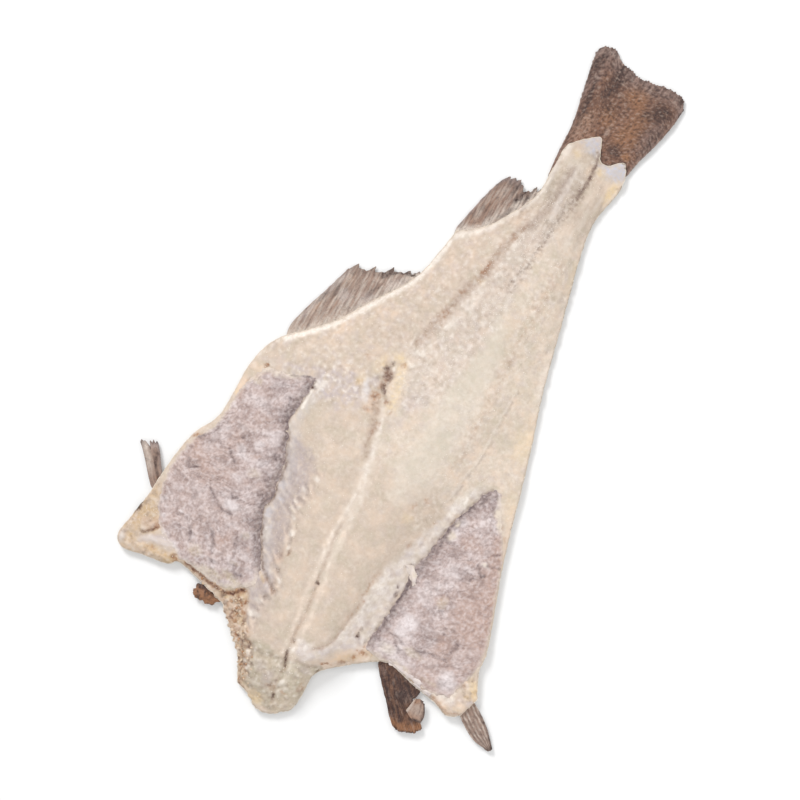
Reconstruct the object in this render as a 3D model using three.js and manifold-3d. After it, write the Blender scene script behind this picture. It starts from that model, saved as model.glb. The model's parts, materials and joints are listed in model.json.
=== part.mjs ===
// A cod without its head, split along the belly, opened out flat, salted and dried. It lies skin
// side down with the flesh up. X runs across the fish, Y along it towards the tail and Z up, in
// millimetres. The origin is on the table, under the middle of the fish's box.
import * as THREE from 'three';
import { mergeVertices } from 'three/addons/utils/BufferGeometryUtils.js';
import Module from 'manifold-3d';

const wasm = await Module();
wasm.setup();

const { clamp, lerp, smoothstep } = THREE.MathUtils;

// The outline of the split body, as [x, y] points in runs that each go on from the last.
const TAIL_ROOT = [[-4, 223], [3, 234], [16, 238.4], [24, 226], [36, 225], [44, 231], [51, 220]];
const RIGHT_SIDE = [
  [51, 206], [46, 178], [50, 148], [63, 98], [80, 33], [98, -22], [121, -102], [146, -172],
  [149, -192], [159, -212],
];
const RIGHT_COLLAR = [
  [162, -224], [155, -233], [143, -237], [130, -232], [110, -229], [83, -223], [70, -228],
  [53, -241], [36, -256], [31, -266],
];
const NECK = [
  [32, -284], [29, -298], [17, -308], [4, -310], [-9, -302], [-19, -299], [-27, -285],
  [-38, -272], [-49, -263], [-62, -249],
];
const LEFT_COLLAR = [
  [-88, -242], [-111, -237], [-118, -243], [-140, -247], [-158, -250], [-166, -241],
  [-163, -220], [-160, -202],
];
const LEFT_SIDE = [
  [-158, -167], [-153, -139], [-142, -115], [-142, -74], [-139, -52], [-130, -27], [-97, 3],
  [-79, 31], [-59, 61], [-51, 98], [-49, 114],
];
const LEFT_TAIL = [[-29, 130], [-13, 156], [-5, 176], [-6, 203], [-4, 223]];

// Values along the fish, as [y, value] stations from the neck to the tail.
const SPINE = [
  [-312, 14], [-267, 8], [-222, 1], [-177, -6], [-122, -10], [-82, -17], [-37, -26], [8, -24],
  [48, -13], [98, 0], [138, 8], [178, 12], [238, 18],
];
const LOIN_HEIGHT = [
  [-312, 13], [-282, 20], [-242, 26], [-182, 30], [-112, 31], [-42, 28], [28, 24], [98, 20],
  [158, 17], [208, 13], [238, 8],
];
const LEFT_LOIN = [
  [-312, 42], [-242, 56], [-182, 64], [-142, 70], [-102, 84], [-62, 92], [-22, 115], [28, 96],
  [78, 66], [128, 46], [178, 26], [238, 26],
];
const RIGHT_LOIN = [
  [-312, 32], [-242, 50], [-202, 62], [-152, 72], [-102, 84], [-62, 104], [-2, 120], [58, 96],
  [118, 68], [178, 42], [238, 36],
];
const RIM_LIFT = [[-312, 2], [-202, 4], [-62, 3], [58, 1.5], [238, 1.2]];
const LIFT_REACH = [[-312, 18], [-202, 48], [-62, 42], [98, 16], [238, 10]];

const FLAP_THICKNESS = 6;
const RIM_THICKNESS = 2.4;
const RIM_ROUND = { from: -2.6, to: 13 }; // where the rim's thickness grows to the full one
const LOIN_FLAT = 0.32; // the share of a loin's width that stays near its full height
const FLAP_WAVE = { height: 1.2, length: 62, from: 60, to: 120 };
const LOIN_WAVE = { height: 0.5, length: 47, slant: 0.9 };

// Lines pressed into the flesh or standing out of it, each with its height at the line and the
// distance over which it dies away.
const LINES = [
  { name: 'midline cut', height: -4.2, spread: 8,
    points: [[14, -302], [8, -267], [1, -222], [-6, -177], [-10, -132], [-17, -82], [-27, -47]] },
  { name: 'backbone stump', height: -2.6, spread: 9, points: [[-38, -40], [-37, -16], [-33, 6]] },
  { name: 'left belly crease', height: -3.2, spread: 10,
    points: [[-87, -54], [-90, -88], [-75, -127], [-71, -160], [-57, -192], [-33, -216]] },
  { name: 'right belly crease', height: -3.2, spread: 10,
    points: [[80, -62], [69, -102], [62, -140], [61, -182], [57, -218]] },
  { name: 'left tail line', height: -2, spread: 7,
    points: [[-30, 18], [-21, 58], [-11, 95], [-7, 128], [0, 150]] },
  { name: 'right tail line', height: -2.2, spread: 7,
    points: [[12, 90], [18, 133], [22, 173], [25, 203], [21, 230]] },
  { name: 'tail backbone', height: 1.6, spread: 8,
    points: [[-17, 33], [-4, 90], [6, 136], [12, 178], [14, 220]] },
  { name: 'left collar bone', height: 3, spread: 9,
    points: [[-100, -233], [-120, -236], [-142, -240], [-157, -240], [-158, -218]] },
  { name: 'right collar bone', height: 3, spread: 9,
    points: [[86, -217], [112, -223], [140, -230], [154, -224], [151, -208]] },
];

// The skin side has a shallow bed along the back, in which the dorsal fins lie pressed flat.
const FIN_BED = { depth: 1.5, half: 26, offset: 12, edge: 14, from: -250, to: 156, fade: 16 };
const DORSAL_FINS = [
  { start: -238, end: -154, reach: 36, sweep: 44 },
  { start: -134, end: -6, reach: 32, sweep: 40 },
  { start: 22, end: 126, reach: 26, sweep: 34 },
];
const DORSAL = { thickness: 2.2, clear: 0.2, sunk: 4, rays: 9, rows: 4, relief: 0.2 };
// The free edge of a dorsal fin, as shares of its base, its reach and its sweep.
const DORSAL_EDGE = [[1, -0.06, 0.3], [1, 0.2, 0.55], [0.5, 0.7, 1], [0, 1, 1.25], [0, 0.8, 0.9],
  [0, 0.1, 0.15]];

// Fins with their rays running from the first edge, in the body, to the second, free edge.
const FANS = [
  { name: 'tail fin', rays: 12, rows: 8, heights: [4.6, 2], thickness: [5.4, 1.6], relief: 0.45,
    root: [[-6, 213], [10, 216], [30, 216], [50, 211]],
    free: [[-22.5, 300], [-17, 309.8], [-6, 308.5], [6, 302], [20, 299.5], [38, 302.5],
      [54, 304.5], [64, 294]] },
  { name: 'front anal fin', rays: 14, rows: 5, heights: [4, 1.6], thickness: [3.4, 1.3], relief: 0.35,
    root: [[-122, -32], [-106, -11], [-88, 8], [-72, 30], [-50, 62]],
    free: [[-129, -24], [-125, -4], [-118, 18], [-109, 46], [-99, 52], [-85, 58], [-71, 66],
      [-56, 71]] },
  { name: 'rear anal fin', rays: 9, rows: 5, heights: [4, 1.6], thickness: [3.4, 1.3], relief: 0.35,
    root: [[-44, 108], [-24, 124], [-10, 144], [0, 170]],
    free: [[-50, 114], [-46, 138], [-41, 159], [-35, 175], [-22, 177.5], [-11, 177], [-4, 181]] },
];

// Slender fins with their rays running along them, between two long edges from root to tip.
const BLADES = [
  { name: 'left pelvic fin', rays: 3, rows: 7, heights: [5, 2], thickness: [4, 1.5], relief: 0.3,
    left: [[-150, -198], [-163, -196], [-175, -183.5], [-185, -172.5], [-191.5, -166]],
    right: [[-150, -178], [-162, -179], [-171, -168], [-180, -159.5], [-190, -160]] },
  { name: 'right pelvic fin', rays: 3, rows: 7, heights: [5, 2], thickness: [4, 1.5], relief: 0.3,
    left: [[148, -208], [160, -216], [171, -224], [181, -233], [191.5, -243]],
    right: [[146, -224], [157, -232], [168, -240], [178, -245], [186, -246]] },
  { name: 'right pectoral fin', rays: 4, rows: 7, heights: [4, 4.2], thickness: [4, 3.2], relief: 0.5,
    left: [[108, -216], [115, -231], [124, -238], [129, -248], [131, -257]],
    right: [[68, -216], [83, -236], [97, -252], [108, -262.5], [117, -267]] },
];
const PECTORAL_STUMP = { centre: [-78, -247, 4.6], size: [24, 16, 7], sides: 14, rings: 8 };

// The grids that the body's two faces are worked out on. A bias under 1 sets the columns closer
// together near the spine.
const FLESH_GRID = { columns: 46, rows: 66, bias: 0.6 };
const SKIN_GRID = { columns: 22, rows: 38, bias: 0.8 };
const GRID_REACH = 205; // half the width that the columns cover, from the spine
const GRID_MARGIN = 4; // how far the rows run past the ends of the outline
const LOW = -10; // below everything, where the faces' blanks end
const HIGH = 60;
const CURVE_STEPS = 3;

const FLESH = { color: 0xdccdbf, roughness: 0.8, metalness: 0 };

// A smooth value along the fish, held level past its first and last station.
function along(stations) {
  const fit = new THREE.CubicInterpolant(
    stations.map((station) => station[0]), stations.map((station) => station[1]), 1);
  return (y) => fit.evaluate(y)[0];
}

function vectors(pairs) {
  return pairs.map(([x, y]) => new THREE.Vector2(x, y));
}

function curve(pairs) {
  return new THREE.SplineCurve(vectors(pairs));
}

function distanceTo(line, x, y) {
  let nearest = Infinity;
  for (let i = 1; i < line.length; i++) {
    const a = line[i - 1];
    const b = line[i];
    const run = b.clone().sub(a);
    const share = clamp(((x - a.x) * run.x + (y - a.y) * run.y) / run.lengthSq(), 0, 1);
    nearest = Math.min(nearest, Math.hypot(x - a.x - share * run.x, y - a.y - share * run.y));
  }
  return nearest;
}

function isInside(loop, x, y) {
  let inside = false;
  for (let i = 0, j = loop.length - 1; i < loop.length; j = i++) {
    const a = loop[i];
    const b = loop[j];
    if (a.y > y !== b.y > y && x < a.x + ((b.x - a.x) * (y - a.y)) / (b.y - a.y)) inside = !inside;
  }
  return inside;
}

// A closed sheet of columns by rows. place gives each point from u and v, 0 to 1 across and along,
// and side, 0 on the underside and 1 on the top. Both faces are split into triangles alike.
function sheet(columns, rows, place) {
  const box = new THREE.BoxGeometry(1, 1, 1, columns, rows, 1);
  const under = box.groups[5];
  for (let i = under.start; i < under.start + under.count; i += 6) {
    const [a, b, d, , c] = box.index.array.slice(i, i + 6);
    box.index.array.set([a, b, c, a, c, d], i);
  }
  const at = box.attributes.position;
  for (let i = 0; i < at.count; i++) {
    const spot = place(at.getX(i) + 0.5, at.getY(i) + 0.5, at.getZ(i) + 0.5);
    at.setXYZ(i, spot.x, spot.y, spot.z);
  }
  return box;
}

function toSolid(geometry) {
  geometry.deleteAttribute('normal');
  geometry.deleteAttribute('uv');
  const merged = mergeVertices(geometry);
  return new wasm.Manifold(new wasm.Mesh({
    numProp: 3,
    vertProperties: new Float32Array(merged.attributes.position.array),
    triVerts: new Uint32Array(merged.index.array),
  }));
}

function toGeometry(solid) {
  const mesh = solid.getMesh();
  const geometry = new THREE.BufferGeometry();
  geometry.setAttribute('position', new THREE.BufferAttribute(mesh.vertProperties, 3));
  geometry.setIndex(new THREE.BufferAttribute(mesh.triVerts, 1));
  geometry.computeVertexNormals();
  return geometry;
}

function bodyOutline() {
  const shape = new THREE.Shape();
  shape.moveTo(...TAIL_ROOT[0]);
  shape.splineThru(vectors(TAIL_ROOT.slice(1)));
  for (const run of [RIGHT_SIDE, RIGHT_COLLAR, NECK, LEFT_COLLAR, LEFT_SIDE, LEFT_TAIL]) {
    shape.splineThru(vectors(run));
  }
  return shape;
}

const outline = bodyOutline();
const rim = outline.getPoints(CURVE_STEPS);
const spineAt = along(SPINE);
const loinHeightAt = along(LOIN_HEIGHT);
const leftLoinAt = along(LEFT_LOIN);
const rightLoinAt = along(RIGHT_LOIN);
const rimLiftAt = along(RIM_LIFT);
const liftReachAt = along(LIFT_REACH);
const lines = LINES.map((line) => ({ ...line, path: curve(line.points).getPoints(line.points.length * 2) }));

// How far a point is in from the outline, and below 0 outside it.
function depthIn(x, y) {
  const distance = distanceTo(rim, x, y);
  return isInside(rim, x, y) ? distance : -distance;
}

function finBed(x, y) {
  const across = Math.abs(x - spineAt(y) - FIN_BED.offset);
  const ends = Math.min(y - FIN_BED.from, FIN_BED.to - y);
  return FIN_BED.depth
    * (1 - smoothstep(across, FIN_BED.half, FIN_BED.half + FIN_BED.edge))
    * smoothstep(ends, 0, FIN_BED.fade);
}

// The skin side: flat on the table, with the rim curled up a little.
function skinHeight(x, y) {
  const lift = rimLiftAt(y) * (1 - smoothstep(depthIn(x, y), 0, liftReachAt(y)));
  return lift + finBed(x, y);
}

// The flesh side: two loins beside the midline, which thin out to the belly flaps and the rim.
function fleshHeight(x, y) {
  const across = x - spineAt(y);
  const loin = (across < 0 ? leftLoinAt : rightLoinAt)(y);
  const fall = smoothstep(Math.abs(across) / loin, LOIN_FLAT, 1);
  const wave = Math.sin((2 * Math.PI * y) / FLAP_WAVE.length)
    * FLAP_WAVE.height * smoothstep(Math.abs(across), FLAP_WAVE.from, FLAP_WAVE.to);
  const flake = Math.sin((2 * Math.PI * (y + LOIN_WAVE.slant * Math.abs(across))) / LOIN_WAVE.length)
    * LOIN_WAVE.height * (1 - fall);
  let height = lerp(loinHeightAt(y), FLAP_THICKNESS + rimLiftAt(y), fall) + wave + flake;
  for (const line of lines) {
    height += line.height * (1 - smoothstep(distanceTo(line.path, x, y), 0, line.spread));
  }
  const skin = skinHeight(x, y);
  const share = smoothstep(depthIn(x, y), RIM_ROUND.from, RIM_ROUND.to);
  return skin + RIM_THICKNESS + (height - skin - RIM_THICKNESS) * share;
}

// A solid from far below the fish up to the given height over each point.
function ground({ columns, rows, bias }, low, heightAt) {
  const { min, max } = new THREE.Box2().setFromPoints(rim);
  return toSolid(sheet(columns, rows, (u, v, side) => {
    const k = 2 * u - 1;
    const y = lerp(min.y - GRID_MARGIN, max.y + GRID_MARGIN, v);
    const x = spineAt(y) + GRID_REACH * k * (bias + (1 - bias) * k * k);
    return new THREE.Vector3(x, y, side ? heightAt(x, y) : low);
  }));
}

function body() {
  const prism = new THREE.ExtrudeGeometry(outline,
    { depth: HIGH, bevelEnabled: false, curveSegments: CURVE_STEPS });
  prism.translate(0, 0, LOW / 2);
  return ground(FLESH_GRID, LOW, fleshHeight)
    .intersect(toSolid(prism))
    .subtract(ground(SKIN_GRID, 2 * LOW, skinHeight));
}

// A thin wavy fin between two edges. s runs along the edges and t from the first to the second;
// raised rays cross the sheet along one of the two.
function fin({ first, second, columns, rows, heights, thickness, ray, fade }) {
  return toSolid(sheet(columns, rows, (u, v, side) => {
    const a = first.getPoint(u);
    const b = second.getPoint(u);
    const middle = lerp(...heights, fade(u, v)) + ray(u, v);
    const z = middle + (side - 0.5) * lerp(...thickness, fade(u, v));
    return new THREE.Vector3(lerp(a.x, b.x, v), lerp(a.y, b.y, v), z);
  }));
}

function fan({ root, free, rays, rows, heights, thickness, relief }) {
  return fin({
    first: curve(root), second: curve(free), columns: rays * 2, rows, heights, thickness,
    fade: (u, v) => v,
    ray: (u, v) => relief * v * Math.cos(2 * Math.PI * rays * u),
  });
}

function blade({ left, right, rays, rows, heights, thickness, relief }) {
  return fin({
    first: curve(right), second: curve(left), columns: rows, rows: rays * 2, heights, thickness,
    fade: (u) => u,
    ray: (u, v) => relief * Math.cos(2 * Math.PI * rays * v),
  });
}

// A dorsal fin folded down flat on the skin side, pointing to the tail.
function dorsalFin({ start, end, reach, sweep }) {
  const at = (share, out, back) => {
    const y = lerp(start, end, share);
    return [spineAt(y) + out, y + back];
  };
  const height = DORSAL.thickness / 2 + DORSAL.clear;
  return fan({
    root: [at(1, -DORSAL.sunk, 0), at(0.5, -DORSAL.sunk, 0), at(0, -DORSAL.sunk, 0)],
    free: DORSAL_EDGE.map(([share, out, back]) => at(share, out * reach, back * sweep)),
    heights: [height, height],
    thickness: [DORSAL.thickness, DORSAL.thickness],
    rays: DORSAL.rays, rows: DORSAL.rows, relief: DORSAL.relief,
  });
}

function pectoralStump() {
  const { centre, size, sides, rings } = PECTORAL_STUMP;
  const knob = new THREE.SphereGeometry(0.5, sides, rings);
  knob.scale(...size);
  knob.translate(...centre);
  return toSolid(knob);
}

function wholeCod() {
  let cod = body();
  for (const shape of [...FANS.map(fan), ...BLADES.map(blade), ...DORSAL_FINS.map(dorsalFin),
    pectoralStump()]) {
    cod = cod.add(shape);
  }
  return toGeometry(cod);
}

const cod = new THREE.Mesh(wholeCod(), new THREE.MeshStandardMaterial(FLESH));
cod.name = 'split_cod';

const model = new THREE.Group();
model.add(cod);

export default model;
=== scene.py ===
import json
import math

import bpy
import numpy as np
from bpy.props import FloatProperty, FloatVectorProperty, IntProperty, PointerProperty
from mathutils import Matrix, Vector
from mathutils.bvhtree import BVHTree

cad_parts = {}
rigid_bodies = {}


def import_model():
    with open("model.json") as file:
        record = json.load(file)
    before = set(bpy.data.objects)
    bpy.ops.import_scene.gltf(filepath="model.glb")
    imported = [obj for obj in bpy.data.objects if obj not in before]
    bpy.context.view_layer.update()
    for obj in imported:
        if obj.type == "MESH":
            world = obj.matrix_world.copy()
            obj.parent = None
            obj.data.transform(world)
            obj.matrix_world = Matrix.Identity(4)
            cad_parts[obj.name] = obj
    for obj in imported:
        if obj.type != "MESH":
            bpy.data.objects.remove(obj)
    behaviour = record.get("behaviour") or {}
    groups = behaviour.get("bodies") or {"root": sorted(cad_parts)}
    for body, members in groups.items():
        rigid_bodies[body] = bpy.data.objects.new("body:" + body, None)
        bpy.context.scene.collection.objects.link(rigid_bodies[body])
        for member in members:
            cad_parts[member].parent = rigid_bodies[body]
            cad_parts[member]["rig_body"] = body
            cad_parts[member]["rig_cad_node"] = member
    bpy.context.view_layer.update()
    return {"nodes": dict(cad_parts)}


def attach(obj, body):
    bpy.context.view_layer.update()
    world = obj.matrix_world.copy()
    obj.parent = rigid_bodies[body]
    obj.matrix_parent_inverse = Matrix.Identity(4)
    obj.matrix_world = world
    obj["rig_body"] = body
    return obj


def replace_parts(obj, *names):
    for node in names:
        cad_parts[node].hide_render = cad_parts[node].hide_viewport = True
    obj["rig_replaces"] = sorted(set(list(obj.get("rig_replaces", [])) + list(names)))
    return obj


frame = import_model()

bl_info = {
    "name": "Split Dried Cod",
    "version": (1, 0, 0),
    "blender": (4, 5, 0),
    "location": "View3D > Sidebar > Cod",
    "description": "A cod split along the belly, salted and dried: flesh, skin, belly lining, fins and salt",
    "category": "Object",
}

CAD_NODE = "split_cod"
BODY = "root"
MM = 0.001
FIN_MATERIAL = "dried cod fin"

# Plan of the fish in millimetres: x across it, y along it towards the tail.
TAIL_ROOT = [
    (-4.5, 222), (1, 228.5), (8, 235), (13, 239), (16, 240.5), (19, 236), (22, 228.5), (25, 223.5),
    (29, 222), (34, 223.5), (39, 228.5), (43.5, 231.5), (47, 227.5), (50.5, 220)]
RIGHT_SIDE = [
    (51, 206), (46, 178), (50, 148), (63, 98), (80, 33), (98, -22), (121, -102), (146, -172),
    (149, -192), (156, -205), (159.5, -213)]
RIGHT_COLLAR = [
    (156, -223), (153, -231.5), (143, -237), (130, -232), (110, -229), (83, -223), (70, -228),
    (53, -241), (36, -256), (31, -266)]
NECK = [
    (32, -284), (29, -298), (17, -308), (4, -310), (-9, -302), (-19, -299), (-27, -285), (-38, -272),
    (-49, -263), (-62, -249)]
LEFT_COLLAR = [
    (-88, -242), (-111, -237), (-118, -243), (-140, -247), (-158, -250), (-166, -241), (-163, -224),
    (-164.5, -219), (-166, -213.5), (-162, -208), (-160, -202)]
LEFT_SIDE = [
    (-158, -167), (-153, -139), (-142, -115), (-142, -74), (-139, -52), (-130, -34), (-115, -19),
    (-97, 1), (-80, 29), (-60, 61), (-51, 98), (-49, 114)]
LEFT_TAIL = [(-29, 130), (-13, 156), (-5, 176), (-7, 204), (-4.5, 222)]
OUTLINE_RUNS = [TAIL_ROOT, RIGHT_SIDE, RIGHT_COLLAR, NECK, LEFT_COLLAR, LEFT_SIDE, LEFT_TAIL]

# Lines that run along the fish.
SPINE = [
    (14, -312), (8, -267), (1, -222), (-6, -177), (-10, -122), (-17, -82), (-26, -37), (-24, 8),
    (-13, 48), (0, 98), (8, 138), (12, 178), (18, 238)]
SEAM = [
    (-17, -82), (-13, -97), (-10, -112), (-9, -127), (-10, -147), (-8, -162), (-6, -177), (-4, -192),
    (-1, -207), (1, -222), (2, -242), (5, -257), (8, -267), (8, -282), (12, -294), (14, -299)]
LEFT_CREASE = [
    (-87, -52), (-88, -62), (-90, -78), (-91, -92), (-85, -99), (-81, -112), (-75, -122), (-73, -132),
    (-72, -142), (-70, -152), (-72, -165), (-68, -174), (-64, -182), (-58, -192), (-52, -202),
    (-47, -207)]
RIGHT_CREASE = [
    (85, -57), (80, -64), (74, -82), (69, -97), (66, -117), (64, -130), (60, -144), (62, -167),
    (61, -182), (59, -202), (56, -219)]
LEFT_TAIL_LINE = [(-30, 18), (-24, 43), (-21, 58), (-17, 78), (-11, 95), (-9, 118), (-6, 133), (0, 148)]
RIGHT_TAIL_LINE = [
    (12, 93), (17, 118), (18, 138), (20, 158), (22, 173), (24, 193), (25, 208), (23, 218), (21, 228)]
BACKBONE_LINE = [(-33, -44), (-29, -54), (-26.5, -63), (-24, -72), (-20, -83)]
RIB_LINE = [(47, -52), (45, -5), (43, 40), (41, 88), (40, 130)]
OUTER_RIB_LINE = [(62, 24), (62.3, 0), (63.5, -20), (63, -45), (60.5, -60), (60, -75), (57, -84)]
STALK_FURROW = [(3, 146), (6, 165), (8, 188), (8, 205)]
STALK_RIDGE = [(14, 160), (12.5, 185), (13, 212)]
SEAM_RIDGES = [
    [(-21, -70), (-16, -90), (-13, -110), (-12, -130), (-13, -146), (-12, -162), (-9, -180), (-8, -194),
    (-7, -206), (-5, -216), (-3, -227), (-1, -240), (0, -254), (4, -268), (8, -284)], [(-25, -48),
    (-20, -66), (-13, -95), (-7, -115), (-5, -130), (-4, -146), (-3, -165), (-1, -180), (2, -190),
    (4, -205), (6, -218), (7, -232), (8, -246), (9, -256), (13, -270), (15, -288)]]
RIGHT_LOIN_EDGE = [
    (38, -148), (36, -165), (35, -180), (36, -195), (34, -208), (33, -220), (31, -229), (28, -237),
    (21, -242)]
RIGHT_LOIN_RIDGE = [
    (42, -148), (40, -165), (39.5, -180), (40, -195), (38, -208), (37, -222), (34, -232), (28, -241),
    (14, -240)]
STREAK_ENDS = [
    (-48, -108), (-45, -121), (-43, -133), (-44, -146), (-45, -157), (-40, -168), (-38, -183),
    (-38, -195), (-31, -203), (-27, -211), (-30, -225), (-30, -240), (-31, -254)]
TAIL_SLIT = [(24, 186), (25, 203), (24.5, 212), (22, 228)]
SCAR = [(-41, -11), (-38, -20), (-35, -30), (-36, -42), (-38, -52)]
STALK_STREAK = [(22, 180), (18, 150), (14, 118), (13, 100)]
RIGHT_COLLAR_RUST = [(127, -231), (134, -234), (143, -237)]
NECK_SLIT = [(3.5, -255), (5, -260), (8, -267)]
NECK_STEP = [(-34, -262), (-24, -268), (-10, -265), (0, -263), (12, -258), (24, -257), (34, -254)]
CAVITY_FOLD = [(-44, -210), (-38, -213), (-31, -219)]
COLLAR_CREASE = [(-150, -231), (-146, -227.5), (-142, -224), (-140, -221)]
COLLAR_BIT = [(-162.5, -209), (-165, -213), (-164, -219)]
LINING_LIP = [(-86, -51), (-86.5, -60), (-86.5, -70), (-86, -76)]
LEFT_LIP = [(-163, -226), (-163, -240), (-156, -246), (-140, -243), (-124, -240), (-113, -237)]
RIGHT_LIP = [(84, -222), (110, -227), (130, -230), (143, -234), (154, -230), (159, -222)]
LEFT_FRONT_EDGE = [(-104, -235), (-88, -238), (-74, -240), (-62, -239), (-54, -232)]
FIN_SIDE_RIM = [
    (-126, -33), (-113, -20), (-95, 0), (-78, 27.5), (-68, 44), (-58.5, 61), (-53, 80), (-49.5, 104)]
REAR_FIN_SIDE_RIM = [(-47, 110), (-29, 127), (-15, 153), (-5, 174), (-4, 190), (-5, 205), (-3, 222)]

# Areas of the flesh side.
LEFT_STREAKS = [
    (-86, -100), (-72, -100), (-50, -110), (-44, -130), (-44, -156), (-38, -172), (-38, -196),
    (-28, -212), (-30, -254), (-42, -244), (-46, -226), (-50, -207), (-58, -193), (-68, -174),
    (-71, -152), (-74, -132), (-81, -112)]
RIGHT_BAND = [
    (74, -60), (80, -60), (72, -82), (67, -104), (63, -140), (60, -180), (57, -218), (48, -226),
    (36, -236), (26, -250), (12, -254), (8, -246), (10, -240), (28, -239), (36, -218), (38, -182),
    (42, -148), (54, -112), (64, -80)]
COLLAR_BAND = [
    (30, -252), (40, -240), (48, -228), (54, -220), (62, -222), (66, -229), (56, -238), (40, -251)]
UPPER_LILAC = [
    (-122, -50), (-104, -46), (-88, -40), (-72, -30), (-58, -32), (-48, -44), (-50, -56), (-62, -62),
    (-82, -60), (-92, -48), (-108, -56)]
TAIL_BAND = [
    (-34, 14), (-24, 60), (-13, 96), (-7, 133), (1, 160), (5, 205), (22, 206), (20, 160), (17, 118),
    (20, 93), (18, 40), (8, -10), (-12, -40), (-24, -20)]
NECK_STUB = [
    (-34, -264), (-14, -261), (4, -262), (22, -258), (37, -255), (34, -284), (31, -300), (18, -306),
    (2, -305), (-10, -300), (-20, -296), (-28, -284)]
RAGGED_NECK = [
    (-66, -240), (-56, -229), (-48, -230), (-43, -244), (-34, -256), (-24, -266), (-17, -284),
    (-14, -300), (-22, -302), (-34, -282), (-50, -268), (-66, -252), (-74, -244)]
OCHRE_COLLAR = [
    (-164, -200), (-156, -188), (-150, -196), (-144, -212), (-137, -222), (-148, -234), (-158, -238),
    (-168, -236)]
LEFT_LIP_FLESH = [
    (-158, -238), (-146, -237), (-130, -238), (-118, -232), (-106, -233), (-110, -240), (-140, -250),
    (-160, -252)]
RIGHT_COLLAR_FLESH = [
    (128, -200), (146, -196), (160, -210), (166, -226), (150, -238), (126, -234), (114, -228),
    (124, -218), (132, -208)]
LEFT_FRONT = [(-100, -228), (-60, -222), (-50, -230), (-56, -242), (-100, -238), (-112, -232)]
COOL_STRIP = [
    (16, 96), (26, 60), (38, 20), (42, -20), (40, -60), (28, -96), (10, -100), (6, -60), (10, -20),
    (14, 30)]
TAIL_MEMBRANES = [
    [(5, 231), (10, 237), (16, 243), (20, 235), (21, 228), (18, 224.5), (11, 226)], [(27, 220),
    (34, 224), (43, 233), (49, 227), (50, 221), (44, 215), (36, 216)]]
COLLAR_FLAP = [
    (-155, -221), (-152, -227), (-149, -229.5), (-142, -223.5), (-139, -219), (-143, -215), (-151, -217)]
COLLAR_STRIP = [(-157, -202), (-155, -209), (-151, -216)]
WHITE_FOLD = [(-150, -238), (-144, -233), (-134, -230), (-122, -228)]
SCAR_HALO = [(-31, -2), (-29, -13), (-25, -25), (-22, -39)]
# Small shadows at the ends of the flakes, as the stains below.
END_SHADES = [
    (2, -286, 26, 22, 0.14), (48, -242, 14, 2, 38, 0.45), (62, -226, 6, 2, 20, 0.4),
    (150.5, -216, 4, 1.8, 0.5), (-42, -124, 3.4, 1.5, -30, 0.5), (-44, -135, 4, 1.6, -30, 0.4),
    (-43, -151, 3.4, 1.5, -20, 0.6), (-41, -161, 1.8, 4, 20, 0.5), (-38, -173, 1.7, 4, 10, 0.5),
    (-36, -184, 1.8, 3.6, 0.9), (-36, -201, 3, 2.2, 0.6), (-33, -212, 3.4, 2, -20, 0.5),
    (-35, -226, 3, 1.6, 0.4), (-34, -238, 3, 1.6, 0.4)]
COLLAR_BANDS = [[(131.5, -200.5), (140, -201), (148, -201.5)], [(141, -208), (145, -211), (148, -215)]]

# Soft stains: x, y, length, width, turn in degrees where there is one, strength.
YELLOW_SPOTS = [
    (86, -4, 40, 12, -74, 0.12), (88, -12, 24, 13, -74, 0.3), (58, 126, 30, 9, -72, 0.3),
    (46, 204, 15, 6, 90, 0.9), (-48, -12, 12, 6, 80, 0.6), (-38, -1, 8, 6, 0.6), (-56, -31, 6, 7, 0.35),
    (-56, -52, 8, 9, 0.4), (34, -111, 8, 6, 0.4), (155, -209, 5, 9, 30, 1), (150, -203, 8, 4, -30, 0.8),
    (6, 219, 6, 6, 0.45), (30, 216, 6, 5, 0.6), (-10, 87, 5, 4, 0.5), (104, -60, 22, 8, -70, 0.25),
    (124, -108, 8, 3, -70, 0.6), (-120, -243, 5, 2.5, 0.6), (0, -303, 10, 7, 0.8),
    (-63, -241, 7, 4, 20, 0.7), (-138, -92, 4, 8, 90, 0.5), (-54, 206, 5, 5, 0.3)]
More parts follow.
